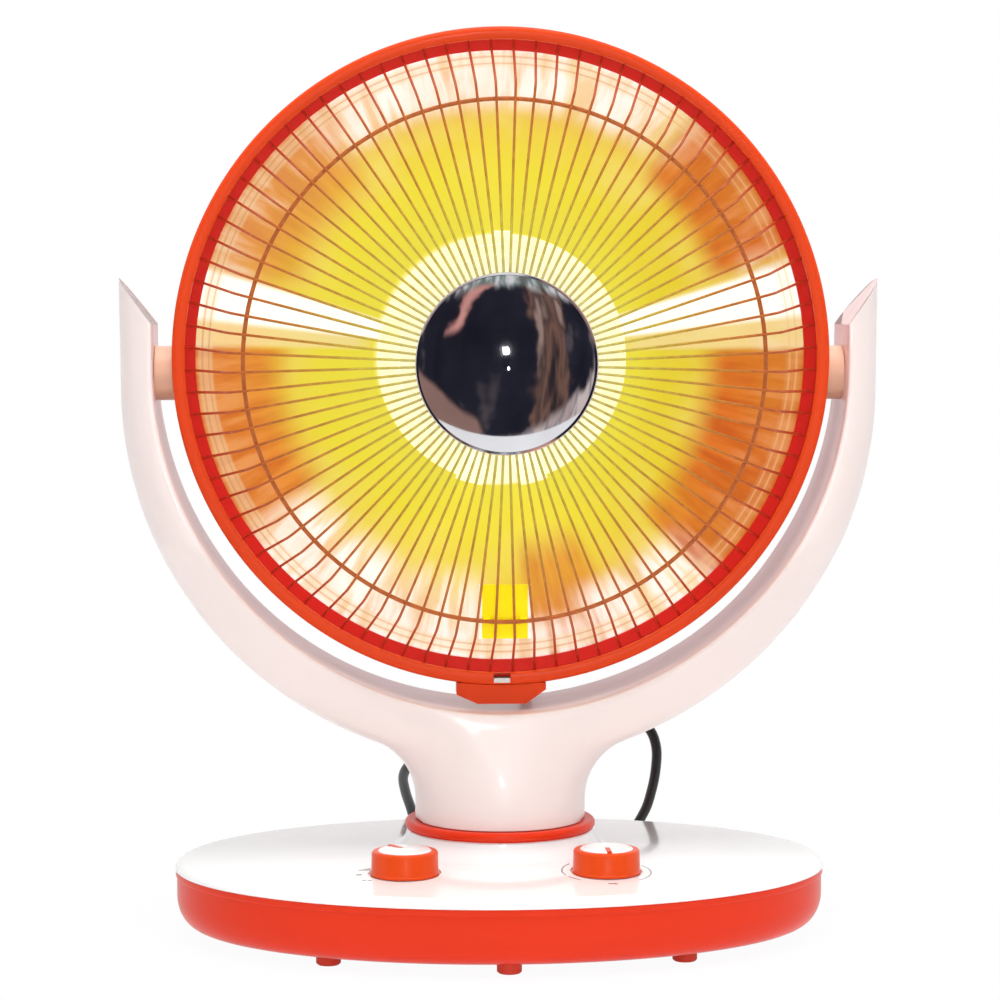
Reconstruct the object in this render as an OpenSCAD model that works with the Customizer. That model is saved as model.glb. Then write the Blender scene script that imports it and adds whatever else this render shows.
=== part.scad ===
// Tabletop carbon heater: a round heating head that tilts in a wide yoke, on an oval base
// that swings it from side to side. The origin is on the table, under the swivel axis.
// +Z is up and the front faces -Y.

/* [Base] */
// Width of the base, from left to right
base_w = 327; // [320:1:360]
// Depth of the base, from front to back
base_d = 224; // [216:1:250]
// Height of the seam between the tray and the top
seam_z = 33.5; // [32.5:0.5:38]
// How far the top cover's centre rises over its edge
crown_h = 5; // [3:0.5:8]
// Wall of the base mouldings
base_wall = 2.5; // [2:0.25:3]
// Height of the feet under the tray
foot_h = 5; // [4:0.5:6]
// Radius of a foot
foot_r = 6; // [5:0.5:8]
// Thickness of the ballast plate
ballast_t = 5; // [3:0.5:7]

/* [Plinth and swivel] */
// Radius of the plinth under the collar
plinth_r = 47; // [46:0.5:50]
// Height of the plinth's rim
plinth_z = 53; // [51:0.5:56]
// Radius of the collar ring
collar_r = 48; // [47.5:0.5:51]
// Thickness of the collar ring
collar_t = 4.8; // [4:0.2:6]
// Radius of the spindle's tube
spindle_r = 12; // [11:0.5:13]
// Bore of the spindle, for the lead
spindle_bore_r = 8; // [6:0.5:9]
// Gap between pieces that turn on each other
running_gap = 0.3; // [0.2:0.05:0.4]
// Radial clearance of a shaft in its bush
fit = 0.05; // [0.02:0.01:0.08]

/* [Knobs] */
// How far each knob sits from the middle
knob_x = 49; // [46:1:56]
// How far the knobs sit in front of the middle
knob_y = 60; // [58:1:62]
// Radius of a knob at its foot
knob_r = 16.8; // [15:0.2:18]
// Radius of the white disc in a knob
cap_r = 13; // [11:0.2:14]
// Height of a knob
knob_h = 11.8; // [10:0.2:14]

/* [Yoke] */
// Radius of the yoke's neck
neck_r = 42.7; // [41:0.1:44]
// Radius of the sweep from the neck into the arms
flare_r = 32; // [28:1:36]
// Height of the straight part of the neck
neck_h = 9.44; // [9:0.02:10]
// Gap between the head's rim and the yoke's inner arc
head_gap = 9.5; // [9.3:0.1:10]
// Width of the yoke's arms, seen from the front
arm_w = 17; // [16:0.5:20]
// How far the inner arc's centre lies over the outer arc's
arc_rise = 11; // [10:0.5:12]
// How far the arms' tips rise over the outer arc's centre
tip_rise = 54; // [47:1:61]
// How far the tips slope down to the inner side
tip_drop = 23; // [15:1:28]
// Half of the yoke's depth under the head
yoke_low_d = 34; // [30:1:38]
// Half of the yoke's depth at the tips
yoke_tip_d = 22; // [19:1:26]
// Width of the rounded flank, square to the arc
flank = 16; // [12:1:18]
// Wall of the yoke's two shells
yoke_wall = 2.5; // [2:0.25:3]

/* [Head] */
// How far the tilt axis lies over the outer arc's centre
pivot_rise = 7; // [5.5:0.5:8]
// How far the head's axis lies over the tilt axis
ring_lift = 8; // [7:0.5:9]
// Tilt of the head at rest, face up
head_tilt = -1.5; // [-3:0.5:2]
// Outer radius of the front rim
rim_r = 162; // [160:0.5:163]
// Width of the rim's front face
rim_w = 6.3; // [5:0.1:7]
// How far the rim's face lies in front of the tilt axis
rim_z = 25; // [23:0.5:27]
// Depth of the rim
rim_h = 10.5; // [9.5:0.5:12]
// How far the reflector's mouth lies inside the rim's outer edge
mouth_in = 11.7; // [11:0.1:14]
// Depth of the reflector's dish
dish_h = 68; // [60:1:72]
// Room between the dish and the back of the bowl
bowl_room = 26.1; // [24:0.5:32]
// Wall of the bowl
bowl_wall = 2; // [1.5:0.25:2.5]
// Radius of the pivot hubs
hub_r = 13.5; // [12:0.5:15]
// Radius of the pivot bolts
bolt_r = 4; // [3:0.5:5]

/* [Guard] */
// Number of radial wires
wires = 88; // [60:1:96]
// Radius of a radial wire
wire_r = 0.65; // [0.6:0.05:0.9]
// Radius of the wire that the rings are bent from
ring_wire_r = 1.05; // [0.8:0.05:1.2]
// How far the middle ring lies inside the rim's outer edge
middle_in = 36; // [34:1:60]
// How far inside the rim's outer edge the wires bend back to the rim
shoulder_in = 28; // [24:0.5:31]
// How far the shoulder stands in front of the rim's face
shoulder_z = 31; // [25:1:36]
// How far the hub stands in front of the rim's face
hub_z = 44.5; // [40:0.5:50]
// Radius of the domed cap in the middle
dome_r = 43.7; // [41:0.1:46]
// Height of the domed cap
dome_h = 13; // [10:0.5:18]

/* [Heating ring] */
// Radius of the ring that the tube is bent to
tube_ring_r = 56; // [50:1:60]
// Outer radius of the quartz tube
tube_r = 5.5; // [4.5:0.25:6.5]
// How far the ring lies behind the rim's face
tube_depth = 7; // [5:0.5:10]
// Opening between the tube's two ends, in degrees
tube_gap = 26; // [20:1:40]

/* [Lead] */
// Diameter of the lead between the neck and the head
lead_d = 5.5; // [5:0.25:6]

/* [Hidden] */
$fn = 96;

ORANGE = [0.93, 0.28, 0.13];
RED = [0.85, 0.2, 0.12];
WHITE = [0.96, 0.93, 0.91];
CREAM = [0.93, 0.9, 0.84];
STEEL = [0.72, 0.73, 0.75];
CHROME = [0.82, 0.83, 0.85];
BRASS = [0.8, 0.62, 0.3];
BLACK = [0.06, 0.06, 0.07];
CERAMIC = [0.9, 0.88, 0.82];
YELLOW = [0.97, 0.86, 0.1];
GOLD = [0.85, 0.75, 0.45];
COPPERED = [0.62, 0.36, 0.16];

// A little more than nothing, so that a cut passes the face that it opens
e = 0.5;
// Gap between fixed pieces that lie on each other
lie = 0.05;

// Base sizes
half_w = base_w / 2;
half_d = base_d / 2;
edge_in = 5.5;
edge_h = 4.8;
tray_corner = 11.5;
tray_corner_h = 15.5;
tray_step = 0.6;
tray_inset = 0.3;
tray_floor = foot_h + base_wall;
top_z = seam_z + edge_h + crown_h;
plinth_sweep = 12;
plinth_foot = plinth_r + plinth_sweep;
skirt_r = plinth_foot + 11;
skirt_drop = 2.3;
knob_lip_h = 1.2;
latch_screw_l = 9;
post_x = 112;
post_y = 46;
post_r = 5;
screw_r = 1.9;
screw_seat = 3;
screw_head_r = 3.6;
screw_head_h = 2.2;
base_screw_l = 17;
neck_screw_l = 4.5;
yoke_screw_l = 27;
cover_screw_l = 9;
ballast_w = 150;
ballast_d = 44;
ballast_y = -76;
ballast_hole_x = 63;
foot_spots = [[0, -95], [0, 95], [-86, -73], [86, -73], [-86, 73], [86, 73]];
foot_seat = 1;

// Swivel sizes
flange_t = 2;
bush_r = spindle_r + 4;
bush_flange_r = spindle_r + 8;
plinth_roof = 3;
collar_z = plinth_z;
neck_z = collar_z + collar_t + running_gap;
gear_m = 1.5;
gear_teeth = 48;
pinion_teeth = 12;
gear_t = 5;
gear_z = tray_floor + 15;
gear_bore = spindle_r - 2;
motor_y = gear_m * (gear_teeth + pinion_teeth) / 2;
motor_r = 24.5;
circlip_z = gear_z + gear_t + lie;
circlip_t = 1.2;
bush_z = circlip_z + circlip_t + running_gap;
spindle_flange_r = 36;
spindle_flange_t = 3;
neck_floor = 3;
spindle_flange_z = neck_z + neck_floor + lie;
washer_t = neck_z - plinth_z - flange_t - 3 * lie;
neck_screw_ring = 30;
tip_spot = [74, 34];
tip_rod_top = tray_floor + 17;
tip_flange = tray_floor + 4.6;
tip_roof = tray_floor + 12.4;
inlet_z = 19;
inlet_r = 8;
inlet_t = 1.6;
inlet_bore = 3.6;

// Knob sizes
knob_seat_z = seam_z + edge_h + 2.1;
knob_z = knob_seat_z + running_gap;
shaft_r = 3;
switch_top = knob_seat_z - 3.3;
cap_sink = 1.4;

// Yoke sizes: the flare's centre lies where it is tangent to the neck and the outer arc
inner_r = rim_r + head_gap;
outer_r = inner_r + arm_w;
flare_x = neck_r + flare_r;
flare_z = neck_z + neck_h;
outer_z = flare_z + sqrt(pow(outer_r + flare_r, 2) - pow(flare_x, 2));
inner_z = outer_z + arc_rise;
tip_z = outer_z + tip_rise;
pivot_z = outer_z + pivot_rise;
arm_foot_z = flare_z + 52.5;
flare_turn = atan2(outer_z - flare_z, flare_x);
tip_out = 0.6;
through = 3.3 * neck_r;
pivot_bush_r = 7;
pivot_bush_t = 1.5;
gland_seat_r = 8.2;
yoke_post_r = 4.5;
tip_slope = tip_drop / (outer_r + tip_out - inner_r);
yoke_posts = [for (s = [-1, 1], a = [38, 62]) let(r = (inner_r + outer_r) / 2)
    [s * (r + 1) * sin(a), (inner_z + outer_z) / 2 - r * cos(a)]];
yoke_seat_y = 12;

// Head sizes, in the head's own frame: +Z to the front, +Y up
rim_back = rim_z - rim_h;
seat_z = rim_back + 2;
rim_lip = rim_r - rim_w;
rim_face_t = 3.2;
bowl_r = rim_r - 4;
mouth_r = rim_r - mouth_in;
dish_lip_t = 0.8;
dish_lip_r = mouth_r + 4;
dish_z = seat_z - 6.4;
dish_foot = dish_z - dish_h;
bowl_z = bowl_room - dish_foot;
tube_z = rim_z - tube_depth;
outer_ring_r = rim_r - 4.4;
outer_ring_z = seat_z + ring_wire_r + lie;
wire_z = outer_ring_z + ring_wire_r + wire_r + lie;
wire_end = outer_ring_r + 0.4;
wire_turn_r = rim_lip - 3.5;
middle_r = rim_r - middle_in;
shoulder_r = rim_r - shoulder_in;
shoulder_at = rim_z + shoulder_z;
hub_at = rim_z + hub_z;
wire_hub_r = dome_r - 6;
shoulder_cut = 1.6;
slope_r = shoulder_r - shoulder_cut;
wire_slope = (hub_at - shoulder_at) / (slope_r - wire_hub_r);
inner_ring_r = wire_hub_r + 2;
ring_drop = (ring_wire_r + wire_r + lie) * sqrt(1 + wire_slope * wire_slope);
plate_z = hub_at - wire_r - lie;
dome_t = 1;
dome_z = wire_height(dome_r - 1) + wire_r + lie;
dome_sphere = (dome_r * dome_r + dome_h * dome_h) / (2 * dome_h);
dome_turn = asin(dome_r / dome_sphere);
dome_turn_in = acos((dome_sphere - dome_h) / (dome_sphere - dome_t));
tag_z = wire_height(middle_r) - ring_drop - ring_wire_r - 0.1;
tag_w = 25.2;
tag_h = 26.5;
tag_low = middle_r + 8.3;
cover_r = 66;
bowl_hole = 58;
slot_r = 92;
slot_l = 34;
slot_w = 4;
bowl_flat = 80;
cover_h = 12;
cover_slot_y = -14;
cover_slot_step = 8;
cover_slot_w = 3.6;
cover_z = -bowl_z - lie;
hub_in = bowl_r + 2;
boss_in = dish_lip_r + 0.3;
boss_r = hub_r + 0.9;
nut_r = 7;
nut_h = 4.8;
bolt_in = boss_in - nut_h - 1;
latch_low = -rim_r - 9.5;
slot_in = 3.2;
bracket_z = dish_foot - 8;
bracket_t = 1.6;
bracket_leg = 68;
end_turn = tube_gap / 2 - 2;
bracket_y = -tube_ring_r * cos(end_turn);
post_at = tube_ring_r * sin(end_turn);
lead_gland_y = -38;
lead_gland_x = 15;

// The lead's route, from the neck's gland round behind the base and up to the head's gland
neck_gland_z = 92;
neck_gland_y = yoke_depth(neck_gland_z) - 0.87;
neck_pad = 5.2;
gland_out = 15.7;
head_gland_out = 16;
lead_top = head_point([lead_gland_x, lead_gland_y, cover_z - cover_h - head_gland_out - 0.3]);
LEAD = concat([
    [0, neck_gland_y + gland_out + 0.1, 92], [0, 60, 92], [0, 67, 92], [-6, 76, 90], [-20, 86, 83],
    [-34, 94, 76], [-43, 103, 69], [-47, 116, 60], [-46, 129, 50], [-43, 141, 39], [-38, 151, 24],
    [-26, 159, 11], [-8, 164, 4.6], [12, 166, 3.4], [34, 164, 4.6], [58, 158, 10], [78, 151, 20],
    [87, 147, 33], [91, 144, 46], [93, 141, 59], [93, 140, 71], [89, 140, 81], [79, 141, 88],
    [65, 142.5, 90.5], [50, 144, 91], [36, 146, 93], [25.5, 148, 100.5], [19.5, 149.5, 114],
    [18, 150.5, 134]],
    [for (p = [[3, 38, -95], [3.5, 39, -67], [3.5, 39, -41], [2.5, 36.4, -20], [1, 29.4, -6], [0, 20, 0],
        [0, 9, 0], [0, 0, 0]]) lead_top + p]);

// The head's frame seen from the part's: its face to the front, its axis over the tilt axis
module in_head() {
    translate([0, 0, pivot_z]) rotate([-head_tilt, 0, 0]) translate([0, 0, ring_lift])
        rotate([90, 0, 0]) children();
}

// Where a point of the head's frame lies in the part's
function head_point(p) = [p[0], -p[2] * cos(head_tilt) + (p[1] + ring_lift) * sin(head_tilt),
    pivot_z + p[2] * sin(head_tilt) + (p[1] + ring_lift) * cos(head_tilt)];

// The tilt axis along X, for pieces that sit on it
module on_pivot(side) {
    translate([0, 0, pivot_z]) rotate([-head_tilt, 0, 0]) rotate([0, side * 90, 0]) children();
}

// A ring turned about Z, with its section given by its corners
module turned(points) {
    rotate_extrude() polygon(points);
}

module tube(r, bore, h) {
    difference() {
        cylinder(r = r, h = h);
        translate([0, 0, -e]) cylinder(r = bore, h = h + 2 * e);
    }
}

module torus(ring, r) {
    rotate_extrude() translate([ring, 0]) circle(r);
}

// Points on an arc, with radii a and b, from angle t0 to angle t1 in n steps
function arc(cx, cy, a, b, t0, t1, n) =
    [for (i = [0:n]) let(t = t0 + (t1 - t0) * i / n) [cx + a * cos(t), cy + b * sin(t)]];

// A closed solid over rings of points that are stacked on each other
module loft(rings) {
    n = len(rings[0]);
    m = len(rings);
    points = [for (ring = rings, p = ring) p];
    sides = [for (j = [0:m - 2], i = [0:n - 1]) let(a = j * n + i, b = j * n + (i + 1) % n)
        each [[a, a + n, b], [b, a + n, b + n]]];
    foot = [for (i = [1:n - 2]) [0, i, i + 1]];
    head = [for (i = [1:n - 2]) [(m - 1) * n, (m - 1) * n + i + 1, (m - 1) * n + i]];
    polyhedron(points = points, faces = concat(sides, foot, head));
}

// An oval section of the base, drawn in by the same amount all round
function oval(inset, z, n = 60) =
    [for (i = [0:n - 1]) let(t = 360 * i / n) [(half_w - inset) * cos(t), (half_d - inset) * sin(t), z]];

// The base top's outline as insets and heights, g inside the outer face
function top_levels(g) = concat(
    arc(edge_in, seam_z, edge_in - g, edge_h - g, 180, 90, 5),
    [for (f = [0.14, 0.28, 0.42, 0.56, 0.7, 0.84, 0.96])
        [edge_in + f * (half_d - edge_in), seam_z + edge_h - g + crown_h * (1 - pow(1 - f, 2))]]);

// The tray's outline, from its floor up, g inside the outer face
function tray_levels(g) = concat(
    arc(tray_inset + tray_corner + tray_step, foot_h + tray_corner_h, tray_corner - g, tray_corner_h - g,
        270, 180, 6),
    [[tray_inset + tray_step + g, seam_z - 3.2], [tray_inset + g, seam_z - 2.6],
        [tray_inset + g, seam_z - lie]]);

module ovals(levels) {
    loft([for (p = levels) oval(p[0], p[1])]);
}

module at_posts() {
    for (sx = [-1, 1], sy = [-1, 1]) translate([sx * post_x, sy * post_y, 0]) children();
}

module base_tray() color(ORANGE) {
    difference() {
        union() {
            difference() {
                ovals(tray_levels(0));
                ovals(concat(tray_levels(base_wall), [[tray_inset + base_wall, seam_z + 1]]));
            }
            at_posts() translate([0, 0, tray_floor - 1]) cylinder(r = post_r + 1.5, h = 6);
            translate([tip_spot[0], tip_spot[1], tray_floor - 1]) tube(10, 7.5, 2);
            at_inlet(-7) cylinder(r = inlet_r + 1.2, h = 7 - inlet_t);
        }
        at_posts() translate([0, 0, foot_h - e]) cylinder(r = screw_r + 0.3, h = 12);
        at_posts() translate([0, 0, foot_h - e]) cylinder(r = screw_head_r + 0.3, h = screw_seat + e);
        for (p = foot_spots) translate([p[0], p[1], foot_h - e])
            cylinder(r = foot_r + lie, h = foot_seat + e);
        translate([tip_spot[0], tip_spot[1], foot_h - e]) cylinder(r = 3.4, h = base_wall + 2 * e);
        at_inlet(-12) cylinder(r = 6, h = 14);
        at_inlet(-inlet_t) cylinder(r = inlet_r + 0.3, h = 4);
    }
}

module plinth_body() {
    turned(concat([[0, top_z - 4], [plinth_foot, top_z - 4]],
        [[skirt_r, top_z - 3.2], [skirt_r, top_z - skirt_drop]],
        arc(plinth_foot, plinth_z, -plinth_sweep, top_z - 1 - plinth_z, 90, 0, 8), [[0, plinth_z]]));
}

module base_top() color(WHITE) {
    difference() {
        union() {
            difference() {
                ovals(top_levels(0));
                ovals(concat([[base_wall, seam_z - 1]], top_levels(base_wall)));
            }
            plinth_body();
            for (side = [-1, 1]) translate([side * knob_x, -knob_y, knob_seat_z - 3.2])
                cylinder(r = knob_r + 4, h = 3.2);
            at_posts() translate([0, 0, tray_floor + 5 + lie]) cylinder(r = post_r, h = 27);
        }
        translate([0, 0, seam_z - 1]) cylinder(r = plinth_r - 4, h = plinth_z - plinth_roof - seam_z + 1);
        translate([0, 0, seam_z]) cylinder(r = bush_r + lie, h = 30);
        for (side = [-1, 1]) translate([side * knob_x, -knob_y, 0]) {
            translate([0, 0, knob_seat_z]) cylinder(r = knob_r + 0.9, h = 8);
            translate([0, 0, seam_z - 2]) cylinder(r = shaft_r + 1, h = 20);
        }
        at_posts() translate([0, 0, tray_floor]) cylinder(r = screw_r - 0.3, h = 20);
    }
}

module collar_ring() color(ORANGE) translate([0, 0, collar_z + lie]) {
    low = bush_flange_r + 3;
    turned(concat([[low, 0], [collar_r - 1, 0]],
        arc(collar_r - 2, collar_t / 2, 2, collar_t / 2 - 0.2, -70, 70, 6),
        [[collar_r - 2, collar_t - 0.2], [low, collar_t - 0.2]]));
}

module swivel_bush() color(CREAM) {
    translate([0, 0, bush_z]) tube(bush_r, spindle_r + fit, plinth_z - bush_z + 1);
    translate([0, 0, plinth_z + lie]) tube(bush_flange_r, spindle_r + fit, flange_t);
}

module thrust_washer() color(STEEL)
    translate([0, 0, plinth_z + 2 * lie + flange_t]) tube(bush_flange_r - 1, spindle_r + 0.4, washer_t);

module ballast_plate() color(STEEL) translate([0, ballast_y, tray_floor + lie]) {
    difference() {
        translate([-ballast_w / 2, 0, 0]) cube([ballast_w, ballast_d, ballast_t]);
        for (s = [-1, 1]) translate([s * ballast_hole_x, ballast_d / 2, -e])
            cylinder(r = 3, h = ballast_t + 2 * e);
    }
}

module feet() color(ORANGE) {
    for (p = foot_spots) translate([p[0], p[1], 0])
        turned([[0, 0], [foot_r - 0.8, 0], [foot_r, 0.8], [foot_r, foot_h + foot_seat - lie],
            [0, foot_h + foot_seat - lie]]);
}

module pan_screw(r, h, head_r, head_h) {
    cylinder(r = r, h = h);
    difference() {
        translate([0, 0, -head_h]) cylinder(r = head_r, h = head_h);
        for (turn = [0, 90]) rotate([0, 0, turn]) translate([-head_r * 0.55, -0.4, -head_h - e])
            cube([head_r * 1.1, 0.8, e + head_h * 0.5]);
    }
}

module base_screws() color(STEEL)
    at_posts() translate([0, 0, foot_h + screw_seat - lie])
        pan_screw(screw_r - 0.4, base_screw_l, screw_head_r, screw_head_h);

module motor() color(STEEL) {
    difference() {
        union() {
            translate([0, motor_y, tray_floor + lie]) cylinder(r = motor_r, h = 12);
            translate([-33, motor_y - 7, tray_floor + lie]) cube([66, 14, 1.5]);
            translate([0, motor_y, tray_floor + 12]) cylinder(r = 6, h = 1.5);
        }
        translate([0, motor_y, tray_floor + 5]) cylinder(r = 2 + fit, h = 12);
        for (x = [-29, 29]) translate([x, motor_y, tray_floor - e]) cylinder(r = 2, h = 4);
    }
}

// Involute teeth: polar half-angle of a tooth at radius r
function inv(a) = tan(a) * 180 / PI - a;
function tooth_half(r, n, m, slack) = let(rp = m * n / 2, rb = rp * cos(20))
    90 / n - slack / rp * 45 / PI + inv(20) - inv(acos(min(1, rb / r)));
function gear_points(n, m, slack, list) = let(rp = m * n / 2, ro = rp + 0.8 * m, rr = rp - 1.2 * m)
    [for (i = list) each concat(
        [for (f = [0:4]) let(r = rr + (ro - rr) * f / 4, h = tooth_half(r, n, m, slack))
            [r * cos(360 * i / n - h), r * sin(360 * i / n - h)]],
        [for (f = [4:-1:0]) let(r = rr + (ro - rr) * f / 4, h = tooth_half(r, n, m, slack))
            [r * cos(360 * i / n + h), r * sin(360 * i / n + h)]])];

module motor_pinion() color(CREAM) translate([0, motor_y, 0]) {
    translate([0, 0, gear_z]) linear_extrude(gear_t)
        rotate(180 / pinion_teeth - 90) polygon(gear_points(pinion_teeth, gear_m, 0.3, [0:pinion_teeth - 1]));
    translate([0, 0, tray_floor + 7]) cylinder(r = 2, h = gear_z - tray_floor - 6);
}

module sector_gear() color(CREAM) difference() {
    union() {
        translate([0, 0, gear_z]) linear_extrude(gear_t)
            rotate(90) polygon(concat([[-8, 0], [0, -18]],
                gear_points(gear_teeth, gear_m, 0.3, [-6:6]), [[0, 18]]));
        translate([0, 0, gear_z]) cylinder(r = 18, h = gear_t);
    }
    translate([0, 0, gear_z - e]) cylinder(r = gear_bore + lie, h = gear_t + 2 * e);
}

module circlip() color(STEEL)
    translate([0, 0, circlip_z]) tube(spindle_r + 2.5, gear_bore + lie, circlip_t);

module spindle() color(STEEL) {
    bottom = gear_z - 3;
    translate([0, 0, bottom]) tube(gear_bore, spindle_bore_r, bush_z - bottom);
    translate([0, 0, bottom]) tube(gear_bore + 2, spindle_bore_r, gear_z - lie - bottom);
    translate([0, 0, bush_z - 0.2]) tube(spindle_r, spindle_bore_r, spindle_flange_z - bush_z + 0.2 + e);
    difference() {
        translate([0, 0, spindle_flange_z]) tube(spindle_flange_r, spindle_bore_r, spindle_flange_t);
        at_neck_screws() translate([0, 0, -e]) cylinder(r = screw_r, h = 90);
    }
}

module at_neck_screws() {
    for (t = [45:90:315]) rotate([0, 0, t]) translate([neck_screw_ring, 0, 0]) children();
}

module neck_screws() color(STEEL)
    at_neck_screws() translate([0, 0, spindle_flange_z + spindle_flange_t + lie])
        mirror([0, 0, 1]) pan_screw(screw_r - 0.3, neck_screw_l, screw_head_r, screw_head_h);

// Knob bodies below the top, then the turning pieces above them
module switch_body(side, w, d, depth) {
    difference() {
        translate([side * knob_x - w / 2, -knob_y - d / 2, switch_top - depth]) cube([w, d, depth]);
        translate([side * knob_x, -knob_y, switch_top - 10]) cylinder(r = shaft_r + fit, h = 12);
    }
}

module knob_shaft(side)
    translate([side * knob_x, -knob_y, switch_top - 9]) cylinder(r = shaft_r, h = knob_z - switch_top + 15);

module knob(side) translate([side * knob_x, -knob_y, knob_z]) {
    difference() {
        turned([[0, 0], [knob_r, 0], [knob_r, knob_lip_h], [knob_r - 0.6, knob_lip_h + 0.6],
            [knob_r - 0.9, knob_h - 1.5], [knob_r - 2.2, knob_h - 0.2], [knob_r - 2.6, knob_h], [0, knob_h]]);
        translate([0, 0, knob_h - cap_sink]) cylinder(r = cap_r, h = 5);
        translate([0, 0, -e]) cylinder(r = shaft_r + lie, h = 6.5 + e);
    }
}

module knob_cap(side, turn) translate([side * knob_x, -knob_y, knob_z + knob_h - cap_sink + lie])
    difference() {
        turned([[0, 0], [cap_r - lie, 0], [cap_r - lie, cap_sink], [cap_r - 0.8, cap_sink + 0.5],
            [0, cap_sink + 0.9]]);
        rotate([0, 0, turn]) translate([-1.1 - lie, -cap_r - 1, 0.6]) cube([2.2 + 2 * lie, cap_r - 1.5, 3]);
    }

module knob_pointer(side, turn) translate([side * knob_x, -knob_y, knob_z + knob_h - cap_sink + lie])
    rotate([0, 0, turn]) translate([-1.1, -cap_r + 0.3, 0.6 + lie]) cube([2.2, cap_r - 3, cap_sink + 0.3]);

module timer_body() color(STEEL) switch_body(-1, 36, 32, 20);
module timer_shaft() color(BRASS) knob_shaft(-1);
module timer_knob() color(ORANGE) knob(-1);
module timer_cap() color(WHITE) knob_cap(-1, 215);
module timer_pointer() color(ORANGE) knob_pointer(-1, 215);
module heat_switch() color(BLACK) switch_body(1, 30, 28, 16);
module heat_shaft() color(BRASS) knob_shaft(1);
module heat_knob() color(ORANGE) knob(1);
module heat_cap() color(WHITE) knob_cap(1, 2);
module heat_pointer() color(ORANGE) knob_pointer(1, 2);

module at_tip() translate([tip_spot[0], tip_spot[1], 0]) children();

module tip_switch() color(BLACK) at_tip() difference() {
    translate([-12, -9, tray_floor + 1.1]) cube([24, 18, 22]);
    translate([0, 0, tray_floor]) cylinder(r = 7, h = tip_roof - tray_floor);
    translate([0, 0, tray_floor]) cylinder(r = 3 + fit, h = tip_rod_top - tray_floor + 0.6);
}

module tip_plunger() color(RED) at_tip() {
    translate([0, 0, 0.1]) cylinder(r = 3, h = tip_rod_top - 0.1);
    translate([0, 0, tip_flange]) cylinder(r = 6, h = 1.2);
}

module tip_spring() color(STEEL) at_tip() {
    turns = 4;
    foot = tip_flange + 1.2 + 0.5;
    rise = tip_roof - 0.5 - foot;
    path = [for (i = [0:turns * 8]) [4.6 * cos(i * 45), 4.6 * sin(i * 45), foot + rise * i / (turns * 8)]];
    sweep(path, 0.4, 6);
}

module base_terminals() color(CERAMIC) difference() {
    translate([-92, 28, tray_floor + lie]) cube([32, 16, 12]);
    for (x = [-84, -76, -68]) translate([x, 36, tray_floor + 4]) cylinder(r = 2.2, h = 12);
}

// The mains lead's inlet, y behind the tray's rearmost line
module at_inlet(y) translate([0, half_d + y, inlet_z]) rotate([-90, 0, 0]) children();

module mains_gland() color(BLACK) at_inlet(0) difference() {
    union() {
        translate([0, 0, -11]) cylinder(r = 5.9, h = 10);
        translate([0, 0, lie - inlet_t]) cylinder(r = inlet_r, h = inlet_t - 2 * lie);
        translate([0, 0, -9.2]) cylinder(r = inlet_r - 0.6, h = 2.1);
    }
    translate([0, 0, -11 - e]) cylinder(r = inlet_bore, h = 20);
}

// The yoke's outline on the right: half-width and height, g inside the outer face
function yoke_outline(g, foot) = concat(
    [[neck_r - g, foot], [neck_r - g, (foot + flare_z) / 2]],
    [for (i = [0:5]) let(t = flare_turn * i / 5)
        [flare_x - (flare_r + g) * cos(t), flare_z + (flare_r + g) * sin(t)]],
    [for (i = [1:12]) let(a = 90 - flare_turn + flare_turn * i / 12)
        [(outer_r - g) * sin(a), outer_z - (outer_r - g) * cos(a)]],
    [[outer_r - g + tip_out / 2, (outer_z + tip_z) / 2], [outer_r - g + tip_out, tip_z]]);

// Half of the yoke's depth at height z: the round neck, then thinner up to the tips
function yoke_depth(z) = let(f = min(1, max(0, (z - flare_z) / 55)), s = f * f * (3 - 2 * f),
    up = yoke_low_d + (yoke_tip_d - yoke_low_d) * max(0, z - arm_foot_z) / (tip_z - arm_foot_z))
    neck_r + (up - neck_r) * s;

// How wide the flank is at that height, measured along X
function yoke_flank(x, z) = let(f = min(1, max(0, (z - flare_z) / (outer_z - flare_z) * 1.6)),
    arm = flank * outer_r / x)
    min(x - 1, z <= flare_z ? x - 1 : (x - 1) * (1 - f) + arm * f);

// The front half of the yoke, solid, g inside its outer face, and over past the middle
module yoke_half(g, foot, over) {
    n = 7;
    loft([for (p = yoke_outline(g, foot)) let(x = p[0], z = p[1], w = yoke_flank(x, z), d = yoke_depth(z) - g)
        concat([[-x, over, z]],
            [for (i = [0:n]) [-(x - w) - w * cos(90 * i / n), -d * sin(90 * i / n), z]],
            [for (i = [n:-1:0]) [x - w + w * cos(90 * i / n), -d * sin(90 * i / n), z]],
            [[x, over, z]])]);
}

// What the head turns in, g wider
module yoke_inside(g) {
    translate([0, 0, inner_z]) rotate([90, 0, 0]) cylinder(r = inner_r + g, h = through, center = true);
    translate([-inner_r - g, -through / 2, inner_z]) cube([2 * (inner_r + g), through, tip_rise]);
}

// What lies over the slanted tips, lowered by g
module over_tips(g) {
    reach = 10;
    drop = g * sqrt(1 + tip_slope * tip_slope);
    low = tip_z - tip_drop - reach * tip_slope - drop;
    for (s = [-1, 1]) translate([0, through / 2, 0]) rotate([90, 0, 0]) linear_extrude(through)
        polygon([[s * (inner_r - reach), low],
            [s * (outer_r + tip_out + reach), tip_z + reach * tip_slope - drop],
            [s * (outer_r + tip_out + reach), tip_z + 40], [s * (inner_r - reach), tip_z + 40]]);
}

// Behind the middle the half is the front one's mirror image
module on_side(side) {
    if (side < 0) children();
    else mirror([0, 1, 0]) children();
}

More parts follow.
